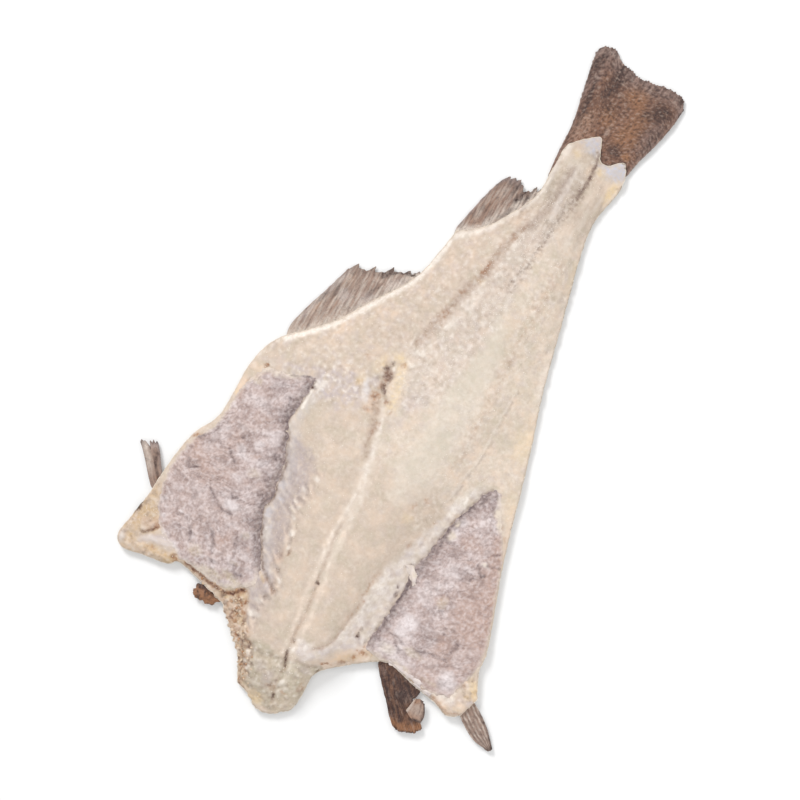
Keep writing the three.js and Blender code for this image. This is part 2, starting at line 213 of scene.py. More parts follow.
RUST_SPOTS = [
    (144, -209, 5, 2.4, -35, 0.45), (-38, -18, 6, 8, 10, 0.55), (-39.5, -38, 6, 7, 0.5),
    (108, -96, 5, 3, -50, 0.4), (113, -87, 4, 3, -60, 0.4), (106, -80, 3, 2.5, 0.35),
    (-12, 95, 6, 4, 80, 0.8), (-11, 101, 5, 3, 80, 0.5), (-38.5, -37, 4.5, 5, 70, 0.8),
    (-39.5, -50, 3, 4, 90, 0.45), (-38, -28, 4, 5, 0.5), (-28, -37, 5.5, 2.8, -10, 0.75),
    (-31, -4, 3.5, 4, 0.6), (-20, -43, 2.5, 3, 0.55), (-25, -56, 3, 3, 0.5), (-26, -63, 3, 4, 0.4),
    (-4, 131, 7, 3, 90, 0.4), (-20, 72, 4, 3, 80, 0.5), (-23, 50, 4, 5, 80, 0.5),
    (42, -91, 4, 3, 40, 0.55), (57, -104, 3, 3, 0.35), (34, -100, 3, 4, 0.4), (47, -130, 3, 5, 0.4),
    (-60, -12, 4, 4, 0.3), (-149, -139, 7, 2.5, 35, 0.75), (-129, -60, 3, 3, 0.8),
    (-136, -80, 2.5, 6, 0.5), (104, -88, 6, 2, 0.5), (-141, -222, 3, 1.8, 45, 0.9),
    (-115, -236, 5, 5, 0.8), (-136, -238, 6, 2.5, 15, 0.5), (58, -227, 7, 3.4, 0.9),
    (54, -233, 3.4, 5, 0.8), (66, -222, 5, 2.4, 10, 0.6), (46, -242, 5, 2, 35, 0.7),
    (36, -249, 7, 2, 20, 0.9), (57, -221, 3, 2, 0.6), (-53, -232, 3, 4, 1), (-52, -240, 4, 3, 0.8),
    (-46, -238, 3, 3, 0.6), (-59, -237, 5, 2.5, 0.8), (-44, -246, 4, 3, 0.6), (-50, -252, 4, 5, 0.9),
    (-45, -257, 4, 2, 0.7), (-38, -266, 4, 2.5, 20, 1), (-33, -256, 2, 3, 0.5), (6, -287, 5, 4, 0.5),
    (28, -277, 3, 6, 0.5), (17, -287, 4, 2, 0.5), (-36, -183, 2, 7, 10, 0.5),
    (-40, -213, 4, 2, -35, 0.6), (-32, -218, 4, 3, -35, 0.7), (-40, -190, 6, 8, 0.25)]
BLOOD_SPOTS = [
    (-41, -13, 4.4, 3, 15, 1), (-37.5, -18, 6.4, 5.6, 80, 0.55), (-163, -214, 4.6, 7.5, 8, 1),
    (-38.5, -8, 2.6, 2.2, 30, 0.6), (-38, -17.5, 3.4, 2.6, 20, 0.4), (-28.5, -37, 3.6, 2, -10, 0.3),
    (-40, -20, 3, 3.4, 0.5), (-35, -20, 2.6, 4, 0.55), (-44, -23, 2.5, 2.5, 0.3),
    (-36.5, -28, 5, 2.8, -50, 0.8), (-34, -31.5, 3.4, 2.6, -30, 0.75), (-38, -39, 3, 1.8, 20, 0.4),
    (47.5, -216, 3.2, 2.6, 30, 1), (47, -210, 1.6, 3.5, 0.5), (-3, -194, 3.2, 1.6, -50, 0.95),
    (3.5, -245, 2.6, 1.6, 0.7), (5, -287, 2.5, 1.8, 0.6), (11.5, -294, 3.4, 1.9, -60, 1),
    (-86, -57, 2.6, 2.6, 1), (-53, -231, 1.5, 3, 0.7), (-59, -237, 2.5, 1.5, 0.6),
    (-51, -251, 3, 3.5, 0.7), (-46, -252, 2, 2, 0.4), (-37.5, -266, 3, 1.6, 20, 0.7),
    (-32, -266, 1.6, 4, 20, 0.6), (-25, -270, 3.5, 1.4, 0.5), (-25, -280, 2, 3, 0.45),
    (-17, -279, 1.8, 2.4, 0.5), (-16, -288, 3, 2.4, 0.55), (-15, -300, 6, 2.4, -20, 0.45),
    (34, -259, 2, 2.5, 0.5), (36, -249, 4, 1.2, 20, 0.5), (56, -165, 2, 3.5, 0.7),
    (58, -171, 2, 3, 0.7), (57, -143, 3, 2, 30, 0.7), (-117, -236, 2, 4, 0.35), (-128, -60, 1.6, 2, 0.4)]
PALE_SPOTS = [
    (76, 40, 36, 7, -74, 0.3), (134, -224, 14, 6, -8, 0.5), (120, -226, 12, 3, 0.6),
    (140, -221, 5, 8, 0.5), (-155, -246, 8, 2.5, 0.5), (-162, -242, 3, 7, 20, 0.6),
    (-1, 126, 3, 4, 0.6), (0, 115, 3, 3.5, 0.5), (-3, 107, 3, 3, 0.6), (-2, 98, 3, 3.5, 0.6),
    (-8, 87, 3, 3, 0.5), (-36, -11, 2, 2, 0.9), (-47, -41, 9, 4.5, 118, 0.45),
    (-51, -31, 6, 4, 110, 0.35), (-80, -50, 9, 4, 70, 0.6), (67, -77, 22, 6, 75, 0.5),
    (-8, 70, 20, 7, 80, 0.4), (-14, 44, 10, 6, 80, 0.5), (-23, 11, 7, 3, 0.7), (-25, -1, 5, 3, 0.6),
    (-3, 129, 8, 5, 0.45), (46, -32, 6, 4, 0.4), (-38, -231, 6, 3, 10, 0.7), (-37, -243, 9, 4, 15, 0.9),
    (-46, -247, 3, 2.5, 0.7), (-42, -260, 6, 4, -30, 0.7), (-23, -274, 4, 8, 15, 0.9),
    (-19, -284, 4, 5, 0.8), (-8, -291, 5, 3, 0.4), (-150, -227, 5, 2.5, 20, 0.6),
    (-154, -209, 1.6, 7, 20, 0.6), (-138, -222, 2, 2.5, 0.8), (-53, -145, 3, 2.5, 0.7),
    (-47.5, -148, 3, 2.5, 0.7), (-47, -157, 4.5, 2.6, -20, 0.8), (-42, -170, 2.6, 5, 30, 0.8),
    (-38.5, -181, 2.5, 3.4, 0.6), (-45, -120, 4, 2, -30, 0.6), (-31, -208, 3, 3, 0.6),
    (-50, -133, 4, 2.5, -30, 0.5), (131, -218, 9, 12, 20, 0.6), (44, -171, 14, 7, 90, 0.4),
    (-32, -208, 3, 3, 0.8), (-47, -121, 5, 3, 0.5), (-46, -157, 3, 3, 0.6), (-41, -168, 3, 5, 30, 0.7),
    (-60, -180, 8, 5, -60, 0.5), (6, -252, 4, 5, 0.8), (12, -281, 3, 6, -20, 0.7)]
MEMBRANE_SPOTS = [
    (-48, -36, 13, 4.4, 115, 0.55), (-69, -139, 5, 5, 0.5), (-64, -150, 6, 3, 0.45),
    (-67, -165, 4, 8, 0.5), (-60, -176, 4, 5, 30, 0.4)]
LILAC_SPOTS = [
    (-38, -18, 7, 9, 0.15), (-46, -27, 4, 5, 0.6), (-131, -214, 10, 9, 0.6),
    (-136, -229, 16, 5, 20, 0.9), (-146, -235, 8, 4, 30, 0.7), (127, -209, 9, 10, 30, 0.9),
    (130, -217, 9, 10, 0.8), (156, -218, 4, 5, 0.7), (-163, -240, 3, 6, 20, 0.6),
    (-142, -230, 9, 5, 30, 0.5), (132, -214, 12, 9, 20, 0.4), (140, -226, 10, 6, 0.3),
    (-8, -26, 20, 12, 60, 0.35), (-14, -50, 14, 8, 60, 0.3), (12, 184, 5, 36, 4, 0.35),
    (-50, -43, 14, 10, 0.4), (-43, -28, 4, 6, 0.6), (-130, -228, 12, 6, 15, 0.9),
    (-120, -224, 12, 7, 60, 0.6), (11, -200, 20, 4, 90, 0.2), (-58, -128, 14, 5, -30, 0.5),
    (-42, -218, 12, 6, -15, 0.9), (-46, -228, 8, 6, 0.5), (18, -247, 12, 6, -5, 0.7),
    (30, -240, 10, 4, 30, 0.7), (44, -228, 9, 3, 35, 0.6), (0, -282, 7, 10, 0.6),
    (-10, -276, 8, 8, 0.4), (24, -262, 8, 5, 0.5), (-162, -239, 4, 8, 0.5)]
GREEN_SPOTS = [
    (12, 190, 46, 24, 88, 0.5), (25, 30, 60, 16, 84, 0.45), (22, -52, 40, 18, 84, 0.35),
    (-84, -222, 26, 8, 0.5), (-60, -232, 12, 7, 0.4), (32, 213, 10, 7, 0.5), (-8, -262, 30, 6, 0.3),
    (-78, -74, 20, 16, 90, 0.3), (-66, -107, 10, 6, 0.4), (20, -212, 20, 10, 90, 0.3),
    (-130, -75, 5, 5, 0.5), (-150, -230, 3, 3, 0.8), (17, -275, 12, 8, 0.5), (-158, -236, 4, 6, 0.4),
    (-19, -262, 20, 5, 10, 0.3)]
OCHRE_SPOTS = [
    (50, -236, 16, 5, 35, 0.55), (62, -224, 8, 5, 20, 0.5), (-119, -239, 9, 6, 0.8),
    (155.5, -211, 3.6, 6, 20, 1), (151, -216, 4, 3, 1), (-138, -240, 16, 4, 8, 0.35),
    (-56, -34, 5, 5, 0.6), (-157, -216, 6, 10, 0.5), (-157, -239, 5, 6, 0.6), (-146, -216, 6, 5, 0.5),
    (-133, -237, 12, 4, 8, 0.5), (148, -228, 6, 3, 0.3), (-52, -236, 8, 6, 0.6), (-44, -252, 8, 8, 0.6),
    (-6, -301, 16, 8, 0.4), (-44, -214, 6, 3, -30, 0.7)]
PEACH_SPOTS = [
    (82, 60, 60, 10, -74, 0.2), (112, -76, 30, 5, -72, 0.4), (-70, 20, 40, 8, 52, 0.2),
    (141, -205.5, 9, 2.6, -5, 0.9), (149, -211, 4, 6, 20, 0.9), (140, -233, 14, 3, -14, 0.9),
    (152, -226, 4, 6, 0.6), (-4, 210, 4, 12, 0.6), (20.5, 212, 3, 6, 0.7), (-42, -193, 5, 6, 0.6),
    (-38, -46, 6, 9, 0.6), (-134, -66, 9, 8, 0.9), (-139, -84, 4, 16, 4, 0.8),
    (-88, -2, 30, 14, 45, 0.25), (-40, -118, 20, 10, 0.2), (-143, -217, 6, 6, 0.9),
    (-149, -222, 8, 8, 0.6), (20, -298, 9, 11, 0.8), (-36, -255, 10, 8, 0.7),
    (-44, -261, 8, 4, -40, 0.7), (-41, -193, 6, 7, 0.7), (-42, -183, 5, 5, 0.5),
    (45, -237, 8, 7, 30, 0.3), (46, -210, 4, 6, 0.5), (146, -209, 4, 3, 0.5), (150, -224, 4, 6, 0.4),
    (-37, -45, 8, 10, 0.4), (-130, -240, 14, 4, 8, 0.7), (-5, -150, 3, 9, 0.6), (0, -200, 3, 8, 0.4)]


def hex_colour(text):
    """An sRGB hex colour as the linear numbers that shaders take."""
    parts = [int(text[i:i + 2], 16) / 255 for i in (1, 3, 5)]
    return tuple(c / 12.92 if c <= 0.04045 else ((c + 0.055) / 1.055) ** 2.4 for c in parts)


# ---------------------------------------------------------------- plan geometry

def spline(points, steps=6):
    """Points along a smooth curve through the given ones."""
    p = np.asarray(points, float)
    padded = np.vstack([p[:1], p, p[-1:]])
    t = np.arange(steps)[:, None] / steps
    spans = []
    for a, b, c, d in zip(padded, padded[1:], padded[2:], padded[3:]):
        into, out = (c - a) / 2, (d - b) / 2
        spans.append((2 * b - 2 * c + into + out) * t ** 3
                     + (3 * c - 3 * b - 2 * into - out) * t ** 2 + into * t + b)
    return np.vstack(spans + [p[-1:]])


def body_outline():
    runs = []
    for before, run in zip([OUTLINE_RUNS[-1]] + OUTLINE_RUNS[:-1], OUTLINE_RUNS):
        runs.append(spline([before[-1]] + list(run), 4)[:-1])
    return np.vstack(runs)


def distance(line, at):
    """How far each point of at is from a line of points."""
    nearest = np.full(len(at), np.inf)
    for a, b in zip(line, line[1:]):
        run = b - a
        share = np.clip(((at - a) @ run) / max(run @ run, 1e-9), 0, 1)
        off = at - a - share[:, None] * run
        nearest = np.minimum(nearest, np.hypot(off[:, 0], off[:, 1]))
    return nearest


def inside(loop, at):
    x, y = at[:, 0], at[:, 1]
    result = np.zeros(len(at), bool)
    for a, b in zip(loop, np.roll(loop, 1, axis=0)):
        if a[1] == b[1]:
            continue
        crosses = (a[1] > y) != (b[1] > y)
        result ^= crosses & (x < a[0] + (b[0] - a[0]) * (y - a[1]) / (b[1] - a[1]))
    return result


def ease(value, low, high):
    t = np.clip((value - low) / (high - low), 0, 1)
    return t * t * (3 - 2 * t)


# ---------------------------------------------------------------- irregularity

LATTICE = 256
TURNS = np.random.default_rng(11).random((LATTICE, LATTICE)) * 2 * math.pi
JITTER = np.random.default_rng(12).random((LATTICE, LATTICE, 2))


def lumps(at, size, octaves=1, seed=0):
    """Smooth noise from about -1 to 1, with lumps about size millimetres across."""
    total, weight = np.zeros(len(at)), 1.0
    for octave in range(octaves):
        p = at / size * 2 ** octave + 31.7 * (seed + octave)
        cell = np.floor(p).astype(int)
        f = p - cell
        w = f * f * f * (f * (f * 6 - 15) + 10)
        for i in (0, 1):
            for j in (0, 1):
                turn = TURNS[(cell[:, 0] + i) % LATTICE, (cell[:, 1] + j) % LATTICE]
                slope = np.cos(turn) * (f[:, 0] - i) + np.sin(turn) * (f[:, 1] - j)
                share = (w[:, 0] if i else 1 - w[:, 0]) * (w[:, 1] if j else 1 - w[:, 1])
                total += 1.5 * weight * share * slope
        weight *= 0.5
    return total


def pebbles(at, size, seed=0):
    """Rounded pebbles about size millimetres apart: 1 on their tops, 0 between them."""
    p = at / size + 17.3 * seed
    cell = np.floor(p).astype(int)
    nearest = np.full(len(at), np.inf)
    for i in (-1, 0, 1):
        for j in (-1, 0, 1):
            spot = cell + (i, j)
            centre = spot + JITTER[spot[:, 0] % LATTICE, spot[:, 1] % LATTICE]
            off = p - centre
            nearest = np.minimum(nearest, np.hypot(off[:, 0], off[:, 1]))
    return 1 - ease(nearest, 0.1, 0.75)


def ragged(at, amount, size, seed=0):
    """The points moved about a little, so that what is drawn on them has uneven edges."""
    shift = np.column_stack([lumps(at, size, 2, seed), lumps(at, size, 2, seed + 5)])
    return at + amount * shift


def stroke(at, line, width, steps=4):
    """1 on a line, falling to 0 at width millimetres from it."""
    return 1 - ease(distance(spline(line, steps), at), 0, width)


def blot(at, x, y, long, wide, turn=0.0):
    """1 in the middle of a soft oval blot, falling to 0 at its edge. turn is in degrees."""
    angle = math.radians(turn)
    dx, dy = at[:, 0] - x, at[:, 1] - y
    along = dx * math.cos(angle) + dy * math.sin(angle)
    across = dy * math.cos(angle) - dx * math.sin(angle)
    return 1 - ease(np.hypot(along / long, across / wide), 0.25, 1)


def blots(at, spots):
    """Blots laid over each other, each (x, y, long, wide, turn, strength) or without a turn."""
    left = np.ones(len(at))
    for *spot, strength in spots:
        left *= 1 - strength * blot(at, *spot)
    return 1 - left


def area_masks(at, areas):
    """The blots of each named list."""
    return {name: blots(at, spots) for name, spots in areas.items()}


def patch(at, loop, soft):
    """1 inside a closed outline and 0 outside it, with an edge soft millimetres wide."""
    points = spline(list(loop) + [loop[0]], 3)
    depth = distance(points, at) * np.where(inside(points[:-1], at), 1, -1)
    return ease(depth, -soft / 2, soft / 2)


def strokes(at, *lines):
    """Strokes added up, each (strength, line, width)."""
    return sum(strength * stroke(at, line, width) for strength, line, width in lines)


def patches(at, *areas):
    """Patches added up, each (strength, outline, soft)."""
    return sum(strength * patch(at, loop, soft) for strength, loop, soft in areas)


# ---------------------------------------------------------------- mesh helpers

def deselect():
    bpy.ops.object.select_all(action="DESELECT")


def take(piece):
    """Makes piece the only selected object and the active one."""
    deselect()
    piece.select_set(True)
    bpy.context.view_layer.objects.active = piece
    return piece


def apply_modifier(piece, kind, **settings):
    take(piece)
    modifier = piece.modifiers.new(kind.title(), kind)
    for key, value in settings.items():
        setattr(modifier, key, value)
    bpy.ops.object.modifier_apply(modifier=modifier.name)
    return piece


def get_points(piece):
    points = np.empty(len(piece.data.vertices) * 3)
    piece.data.vertices.foreach_get("co", points)
    return points.reshape(-1, 3) / MM


def set_points(piece, points):
    piece.data.vertices.foreach_set("co", (points * MM).ravel())
    piece.data.update()


def get_normals(piece):
    normals = np.empty(len(piece.data.vertices) * 3, np.float32)
    piece.data.vertex_normals.foreach_get("vector", normals)
    return normals.reshape(-1, 3)


def set_mask(piece, name, values):
    """Stores a number for each vertex, or one for all, which the piece's material reads by name."""
    attribute = piece.data.attributes.new(name, "FLOAT", "POINT")
    values = np.broadcast_to(np.clip(values, 0, 1), len(attribute.data))
    attribute.data.foreach_set("value", values.astype(np.float32))


def set_directions(piece, name, across_along):
    """Stores the millimetres across and along a fin's rays, for the streaks of its material."""
    attribute = piece.data.attributes.new(name, "FLOAT_VECTOR", "POINT")
    vectors = np.column_stack([across_along, np.zeros(len(across_along))])
    attribute.data.foreach_set("vector", vectors.astype(np.float32).ravel())


def settle(piece, name, material):
    """Names a finished piece, gives it its material and lets it ride with the fish."""
    piece.name = piece.data.name = name
    piece.data.materials.clear()
    piece.data.materials.append(material)
    take(piece)
    bpy.ops.object.shade_smooth()
    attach(piece, BODY)
    deselect()
    return piece


def new_sheet(columns, rows):
    """A flat grid primitive, with each vertex's place across and along it from 0 to 1."""
    deselect()
    bpy.ops.mesh.primitive_grid_add(x_subdivisions=columns, y_subdivisions=rows, size=2 * MM)
    piece = bpy.context.object
    flat = get_points(piece)
    return piece, (flat[:, 0] + 1) / 2, (flat[:, 1] + 1) / 2


def top_finder(piece):
    """A function that gives the height of piece's upper face over plan points."""
    tree = BVHTree.FromObject(piece, bpy.context.evaluated_depsgraph_get())
    above, down = 100 * MM, Vector((0, 0, -1))

    def heights(at, missing):
        found = np.full(len(at), float(missing))
        for i, (x, y) in enumerate(at):
            hit = tree.ray_cast(Vector((x * MM, y * MM, above)), down)[0]
            if hit is not None:
                found[i] = hit.z / MM
        return found

    return heights


def softened(find, at, step=2.5, rounds=8):
    """Heights that find gives on a grid, softened there and read off again at the points."""
    low = at.min(axis=0) - 2 * step
    shape = tuple(np.ceil((at.max(axis=0) - low) / step).astype(int) + 3)
    grid = np.stack(np.meshgrid(*map(np.arange, shape), indexing="ij"), -1).reshape(-1, 2)
    heights = find(low + grid * step, np.nan).reshape(shape)
    known = np.isfinite(heights).astype(float)
    heights = np.nan_to_num(heights)
    for axis in (0, 1) * rounds:
        heights, known = [(np.roll(f, 1, axis) + 2 * f + np.roll(f, -1, axis)) / 4
                          for f in (heights, known)]
    field = heights / np.maximum(known, 1e-6)
    cell, f = np.divmod((at - low) / step, 1)
    i, j = cell.astype(int).T
    a, b = f.T
    return ((1 - a) * (1 - b) * field[i, j] + a * (1 - b) * field[i + 1, j]
            + (1 - a) * b * field[i, j + 1] + a * b * field[i + 1, j + 1])


# ---------------------------------------------------------------- materials

def add(tree, kind, inputs=None, **settings):
    """Adds a node. inputs maps an input's name or number to a value or to a socket to link."""
    node = tree.nodes.new(kind)
    for key, value in settings.items():
        setattr(node, key, value)
    for key, value in (inputs or {}).items():
        if isinstance(value, bpy.types.NodeSocket):
            tree.links.new(value, node.inputs[key])
        else:
            node.inputs[key].default_value = value
    return node


def colour(value):
    return (*value, 1.0)


def start_material(name, *patterns):
    """An empty material, its tree and place, and noise for each (millimetres, detail, roughness)."""
    material = bpy.data.materials.new(name)
    material.use_nodes = True
    tree = material.node_tree
    tree.nodes.clear()
    place = add(tree, "ShaderNodeTexCoord").outputs["Object"]
    noises = [add(tree, "ShaderNodeTexNoise", {
        "Vector": place, "Scale": 1 / (size * MM), "Detail": detail, "Roughness": roughness,
    }).outputs["Fac"] for size, detail, roughness in patterns]
    return (material, tree, place, *noises)


def finish_material(tree, base, roughness, height, strength, distance_mm, specular):
    """Gives a material its shader, with height as its relief."""
    bump = add(tree, "ShaderNodeBump", {
        "Strength": strength, "Distance": distance_mm * MM, "Height": height})
    shader = add(tree, "ShaderNodeBsdfPrincipled", {
        "Base Color": base, "Roughness": roughness, "Normal": bump.outputs["Normal"], "IOR": 1.45,
        "Specular IOR Level": specular})
    add(tree, "ShaderNodeOutputMaterial", {"Surface": shader.outputs["BSDF"]})


def lay(tree, base, name, strength, value, low=0.0, high=1.0, least=0.0, times=1.0):
    """Lays a swatch over base: least of it where value is low, and strength of it where it is high.

    A value is a socket or the name of a mask, and the share that shows is multiplied by times.
    """
    if isinstance(value, str):
        value = add(tree, "ShaderNodeAttribute", attribute_name=value).outputs["Fac"]
    share = add(tree, "ShaderNodeMapRange", {
        "Value": value, "From Min": low, "From Max": high, "To Min": least, "To Max": strength})
    share = add(tree, "ShaderNodeMath", {0: share.outputs["Result"], 1: times},
                operation="MULTIPLY", use_clamp=True)
    return add(tree, "ShaderNodeMix", {0: share.outputs[0], 6: base, 7: pick(name)},
               data_type="RGBA").outputs[2]


def layers(tree, base, rows, edges=None, breaks=(0.3, 0.7, 0.4, 1.5)):
    """Lays swatches over base in turn. The noise edges breaks them up, as breaks maps it."""
    times = 1.0
    if edges:
        keys = ("From Min", "From Max", "To Min", "To Max")
        times = add(tree, "ShaderNodeMapRange", {"Value": edges, **dict(zip(keys, breaks))}).outputs[0]
    for row in rows:
        base = lay(tree, base, *row, times=times)
    return base


# ---------------------------------------------------------------- sizes and colours

def length(name, description, value):
    return FloatProperty(name=name, description=description, default=value * MM, min=0,
                         unit="LENGTH", precision=5)


def swatch(name, description, text):
    return FloatVectorProperty(name=name, description=description, default=hex_colour(text),
                               subtype="COLOR", size=3, min=0, max=1)


class CodSizes(bpy.types.PropertyGroup):
    """Sizes of the pieces, in the frame's metres."""

    cell: length("Flesh cell", "Size of the mesh cells on the flesh side", 1.25)
    skin: length("Skin", "Thickness of the skin", 0.5)
    lining: length("Belly lining", "Thickness of the belly lining", 0.9)
    fin: length("Fin", "Thickness of a dried fin", 1.1)
    sheet: length("Torn sheet", "Thickness of a torn membrane", 0.5)
    crystal: length("Salt crystal", "Side of the largest salt crystals", 0.6)
    underside: IntProperty(name="Underside faces", description="Triangles on the skin side",
                           default=24000, min=1000)
    crystals: IntProperty(name="Salt crystals", description="How many crystals lie on the flesh",
                          default=3200, min=0)
    crumbs: IntProperty(name="Crumbs", description="How many torn crumbs lie along the neck cut",
                        default=90, min=0)


class CodColours(bpy.types.PropertyGroup):
    """Colours of the flesh, skin, lining, fins and salt."""

    cream: swatch("Cream flesh", "Flesh of the loins", "#CCBFB1")
    tan: swatch("Tan flesh", "Darker flesh", "#B6A596")
    # Besides the darker freckles and fibres, this colour is painted between the flesh's fine lumps as shade.
    dark_grain_and_shade: swatch("Pits", "Fine pits between the lumps of the flesh", "#A39384")
    # Besides salt-white flesh and ridges, this colour is painted on the tops of the fine lumps and beside
    # the left crease as highlight.
    pale: swatch("Pale flesh", "Salt-white flesh and ridges", "#E4DCD3")
    yellow: swatch("Yellow stain", "Fat that has yellowed", "#D9C19A")
    peach: swatch("Peach stain", "Pinkish flesh near the rim", "#D5BDA8")
    ochre: swatch("Ochre stain", "Yellowed, half dried rim of the collar", "#BDA27E")
    rust: swatch("Rust stain", "Dried blood in the flesh", "#94694A")
    # Besides real clots, this colour is painted into the neck and tail slits and the deepest creases as
    # shade.
    blood: swatch("Blood", "Dark clots and deep creases", "#4B2F28")
    lilac: swatch("Lilac flesh", "Bluish membrane over the flesh", "#B4A8A7")
    membrane: swatch("Membrane", "Thin bluish-white skin over the end of the tail", "#B2B2BC")
    green: swatch("Green flesh", "Greenish grey flesh of the neck", "#A9A08C")
    # Besides dark lines, pits and patches, this colour is painted into creases, the seam's groove and
    # between the flakes as shade.
    shade: swatch("Line", "Dark lines and pits", "#85746A")
    lining: swatch("Belly lining", "Dried lining of the belly", "#B8A9A7")
    # Besides darker lining, this colour is painted beside the loins, in the creases and in the swells' lows
    # as shade.
    lining_dark: swatch("Dark lining", "Lining beside the loins and in its creases", "#796A68")
    lining_brown: swatch("Brown lining", "Lining with dried blood", "#AB9186")
    # Besides thin whitish lining, this colour is painted on the crinkles' tops, the swells and beside each
    # wrinkle as highlight.
    lining_pale: swatch("Pale lining", "Thin, whitish lining", "#D8D0D0")
    olive: swatch("Olive lining", "Yellowish grey lining", "#BFB196")
    crease: swatch("Creases", "Shadowed creases of the lining", "#57494A")
    skin_pale: swatch("Pale skin", "Skin of the belly and the rim", "#CFC4B6")
    skin_olive: swatch("Olive skin", "Skin between the spots", "#8F8468")
    skin_dark: swatch("Dark skin", "Spots of the skin", "#5A4E3C")
    fin_dark: swatch("Dark fin", "Dark skin of the fins", "#543E3A")
    fin_brown: swatch("Brown fin", "Brown skin of the fins", "#8A6551")
    fin_tan: swatch("Tan fin", "Thin, dry parts of the fins", "#A8968A")
    fin_pale: swatch("Pale fin", "Palest membranes of the fins", "#D3C7BC")
    fin_black: swatch("Fin creases", "Darkest skin of the fins", "#3B2C29")
    salt: swatch("Salt", "Salt crystals", "#E6E0D8")


class CodStage(bpy.types.PropertyGroup):
    """Floor and light."""

    floor: swatch("Floor", "The floor under the fish", "#E0E0E0")
    key: FloatProperty(name="Key light", description="Power of the soft main light", default=82,
                       min=0, unit="POWER")
    side: FloatProperty(name="Side light", description="Power of the light that lifts the shade",
                        default=23, min=0, unit="POWER")
    fill: FloatProperty(name="Fill", description="Strength of the light from all around",
                        default=0.78, min=0)


def sizes():
    return bpy.context.scene.cod_sizes


def pick(name):
    return colour(getattr(bpy.context.scene.cod_colours, name))


# ---------------------------------------------------------------- finishes

def tints(tree, place, base, size_mm, names, share):
    """Faint blotches of up to three colours, each in a pattern of its own."""
    noise = add(tree, "ShaderNodeTexNoise", {
        "Vector": place, "Scale": 1 / (size_mm * MM), "Detail": 3.0, "Roughness": 0.6})
    parts = add(tree, "ShaderNodeSeparateColor", {"Color": noise.outputs["Color"]})
    return layers(tree, base, [(name, share, part, 0.5, 0.66)
                               for part, name in zip(parts.outputs, names)])


def flesh_material():
    """Salted, dried cod flesh: dehydrated muscle with salt worked in, so it is matt and chalky.

    Its fibres and grains are under a millimetre, and are drawn 2 to 5 mm wide so that they show.
    """
    material, tree, place, broad, mottle, freckle, fibre, edges = start_material(
        "salted dried cod flesh", (38, 2, 0.6), (5.5, 3, 0.6), (3.4, 2, 0.6), (2.2, 4, 0.7),
        (2.6, 4, 0.75))
    base = layers(tree, pick("cream"), [
        ("tan", 0.3, broad, 0.35, 0.65), ("tan", 0.25, mottle, 0.38, 0.62),
        ("dark_grain_and_shade", 0.22, freckle, 0.55, 0.72), ("pale", 0.24, freckle, 0.45, 0.3),
        ("dark_grain_and_shade", 0.2, fibre, 0.5, 0.68)])
    base = tints(tree, place, base, 7.5, ("peach", "green", "lilac"), 0.3)
    base = tints(tree, place, base, 3.8, ("tan", "dark_grain_and_shade", "pale"), 0.16)
    # The masks on the fine lumps paint a highlight on their tops and shade between them; the shade and blood
    # masks also hold painted shade.
    base = layers(tree, base, [
        ("tan", 0.68, "tan"), ("peach", 0.8, "peach"), ("green", 0.7, "green"),
        ("yellow", 0.75, "yellow"), ("lilac", 0.8, "lilac"), ("membrane", 0.85, "membrane"),
        ("pale", 0.8, "pale"), ("ochre", 0.85, "ochre"), ("pale", 0.5, "crest_grain_and_highlight"),
        ("dark_grain_and_shade", 0.6, "dark_grain_and_shade"), ("rust", 0.8, "rust"), ("shade", 0.75, "shade"),
        ("blood", 0.95, "blood")], edges)
    relief = add(tree, "ShaderNodeMath", {0: freckle, 1: 1.4, 2: fibre}, operation="MULTIPLY_ADD")
    finish_material(tree, base, 0.8, relief.outputs[0], 1.0, 0.28, 0.25)
    return material


def lining_material():
    """Dried belly lining: a thin membrane shrunk over the flap, so it is crinkled and satin.

    Its finest wrinkles are half a millimetre wide, and are drawn 1.7 mm wide so that they show.
    """
    material, tree, place, broad, fine, edges = start_material(
        "dried belly lining", (22, 3, 0.6), (1.7, 3, 0.7), (2.4, 4, 0.75))
    base = layers(tree, pick("lining"), [
        ("lining_brown", 0.35, broad, 0.38, 0.62), ("lining_dark", 0.5, fine, 0.5, 0.66),
        ("lining_pale", 0.5, fine, 0.48, 0.34)])
    base = tints(tree, place, base, 9.0, ("lining_brown", "lining_dark", "lining_pale"), 0.38)
    # Besides the lining's own colours, these masks paint highlight and shade over its crinkles, wrinkles,
    # creases and swells.
    base = layers(tree, base, [
        ("lining_pale", 0.75, "pale"), ("lining_brown", 0.85, "brown"), ("olive", 0.7, "olive"),
        ("rust", 0.5, "rust"), ("lining_dark", 0.8, "shade"), ("lining_pale", 0.34, "crest_grain_and_highlight"),
        ("lining_dark", 0.36, "dark_grain_and_shade"), ("cream", 0.95, "rim"), ("crease", 0.85, "crease")], edges)
    finish_material(tree, base, 0.62, fine, 0.8, 0.25, 0.3)
    return material


def skin_material():
    """Dried cod skin: fine scales under a bloom of salt, spotted olive brown, pale at the belly.

    Its scales are about 1.5 mm wide, and are drawn 2.4 mm wide so that they show.
    """
    material, tree, place, spots, bloom, edges = start_material(
        "dried cod skin", (11, 5, 0.62), (4, 5, 0.8), (5, 4, 0.7))
    scales = add(tree, "ShaderNodeTexVoronoi", {"Vector": place, "Scale": 1 / (2.4 * MM)},
                 feature="DISTANCE_TO_EDGE").outputs["Distance"]
    base = layers(tree, pick("skin_olive"), [
        ("skin_dark", 1.0, spots, 0.42, 0.6), ("skin_pale", 0.55, bloom, 0.5, 0.75),
        ("skin_dark", 0.35, scales, 0.12, 0.0)])
    base = layers(tree, base, [
        ("skin_pale", 0.9, "belly"), ("skin_pale", 1.0, "rim"), ("skin_pale", 0.8, "line"),
        ("skin_dark", 1.2, "bit")], edges, (0.3, 0.7, 0.6, 1.3))
    finish_material(tree, base, 0.62, scales, 0.5, 0.5, 0.35)
    return material


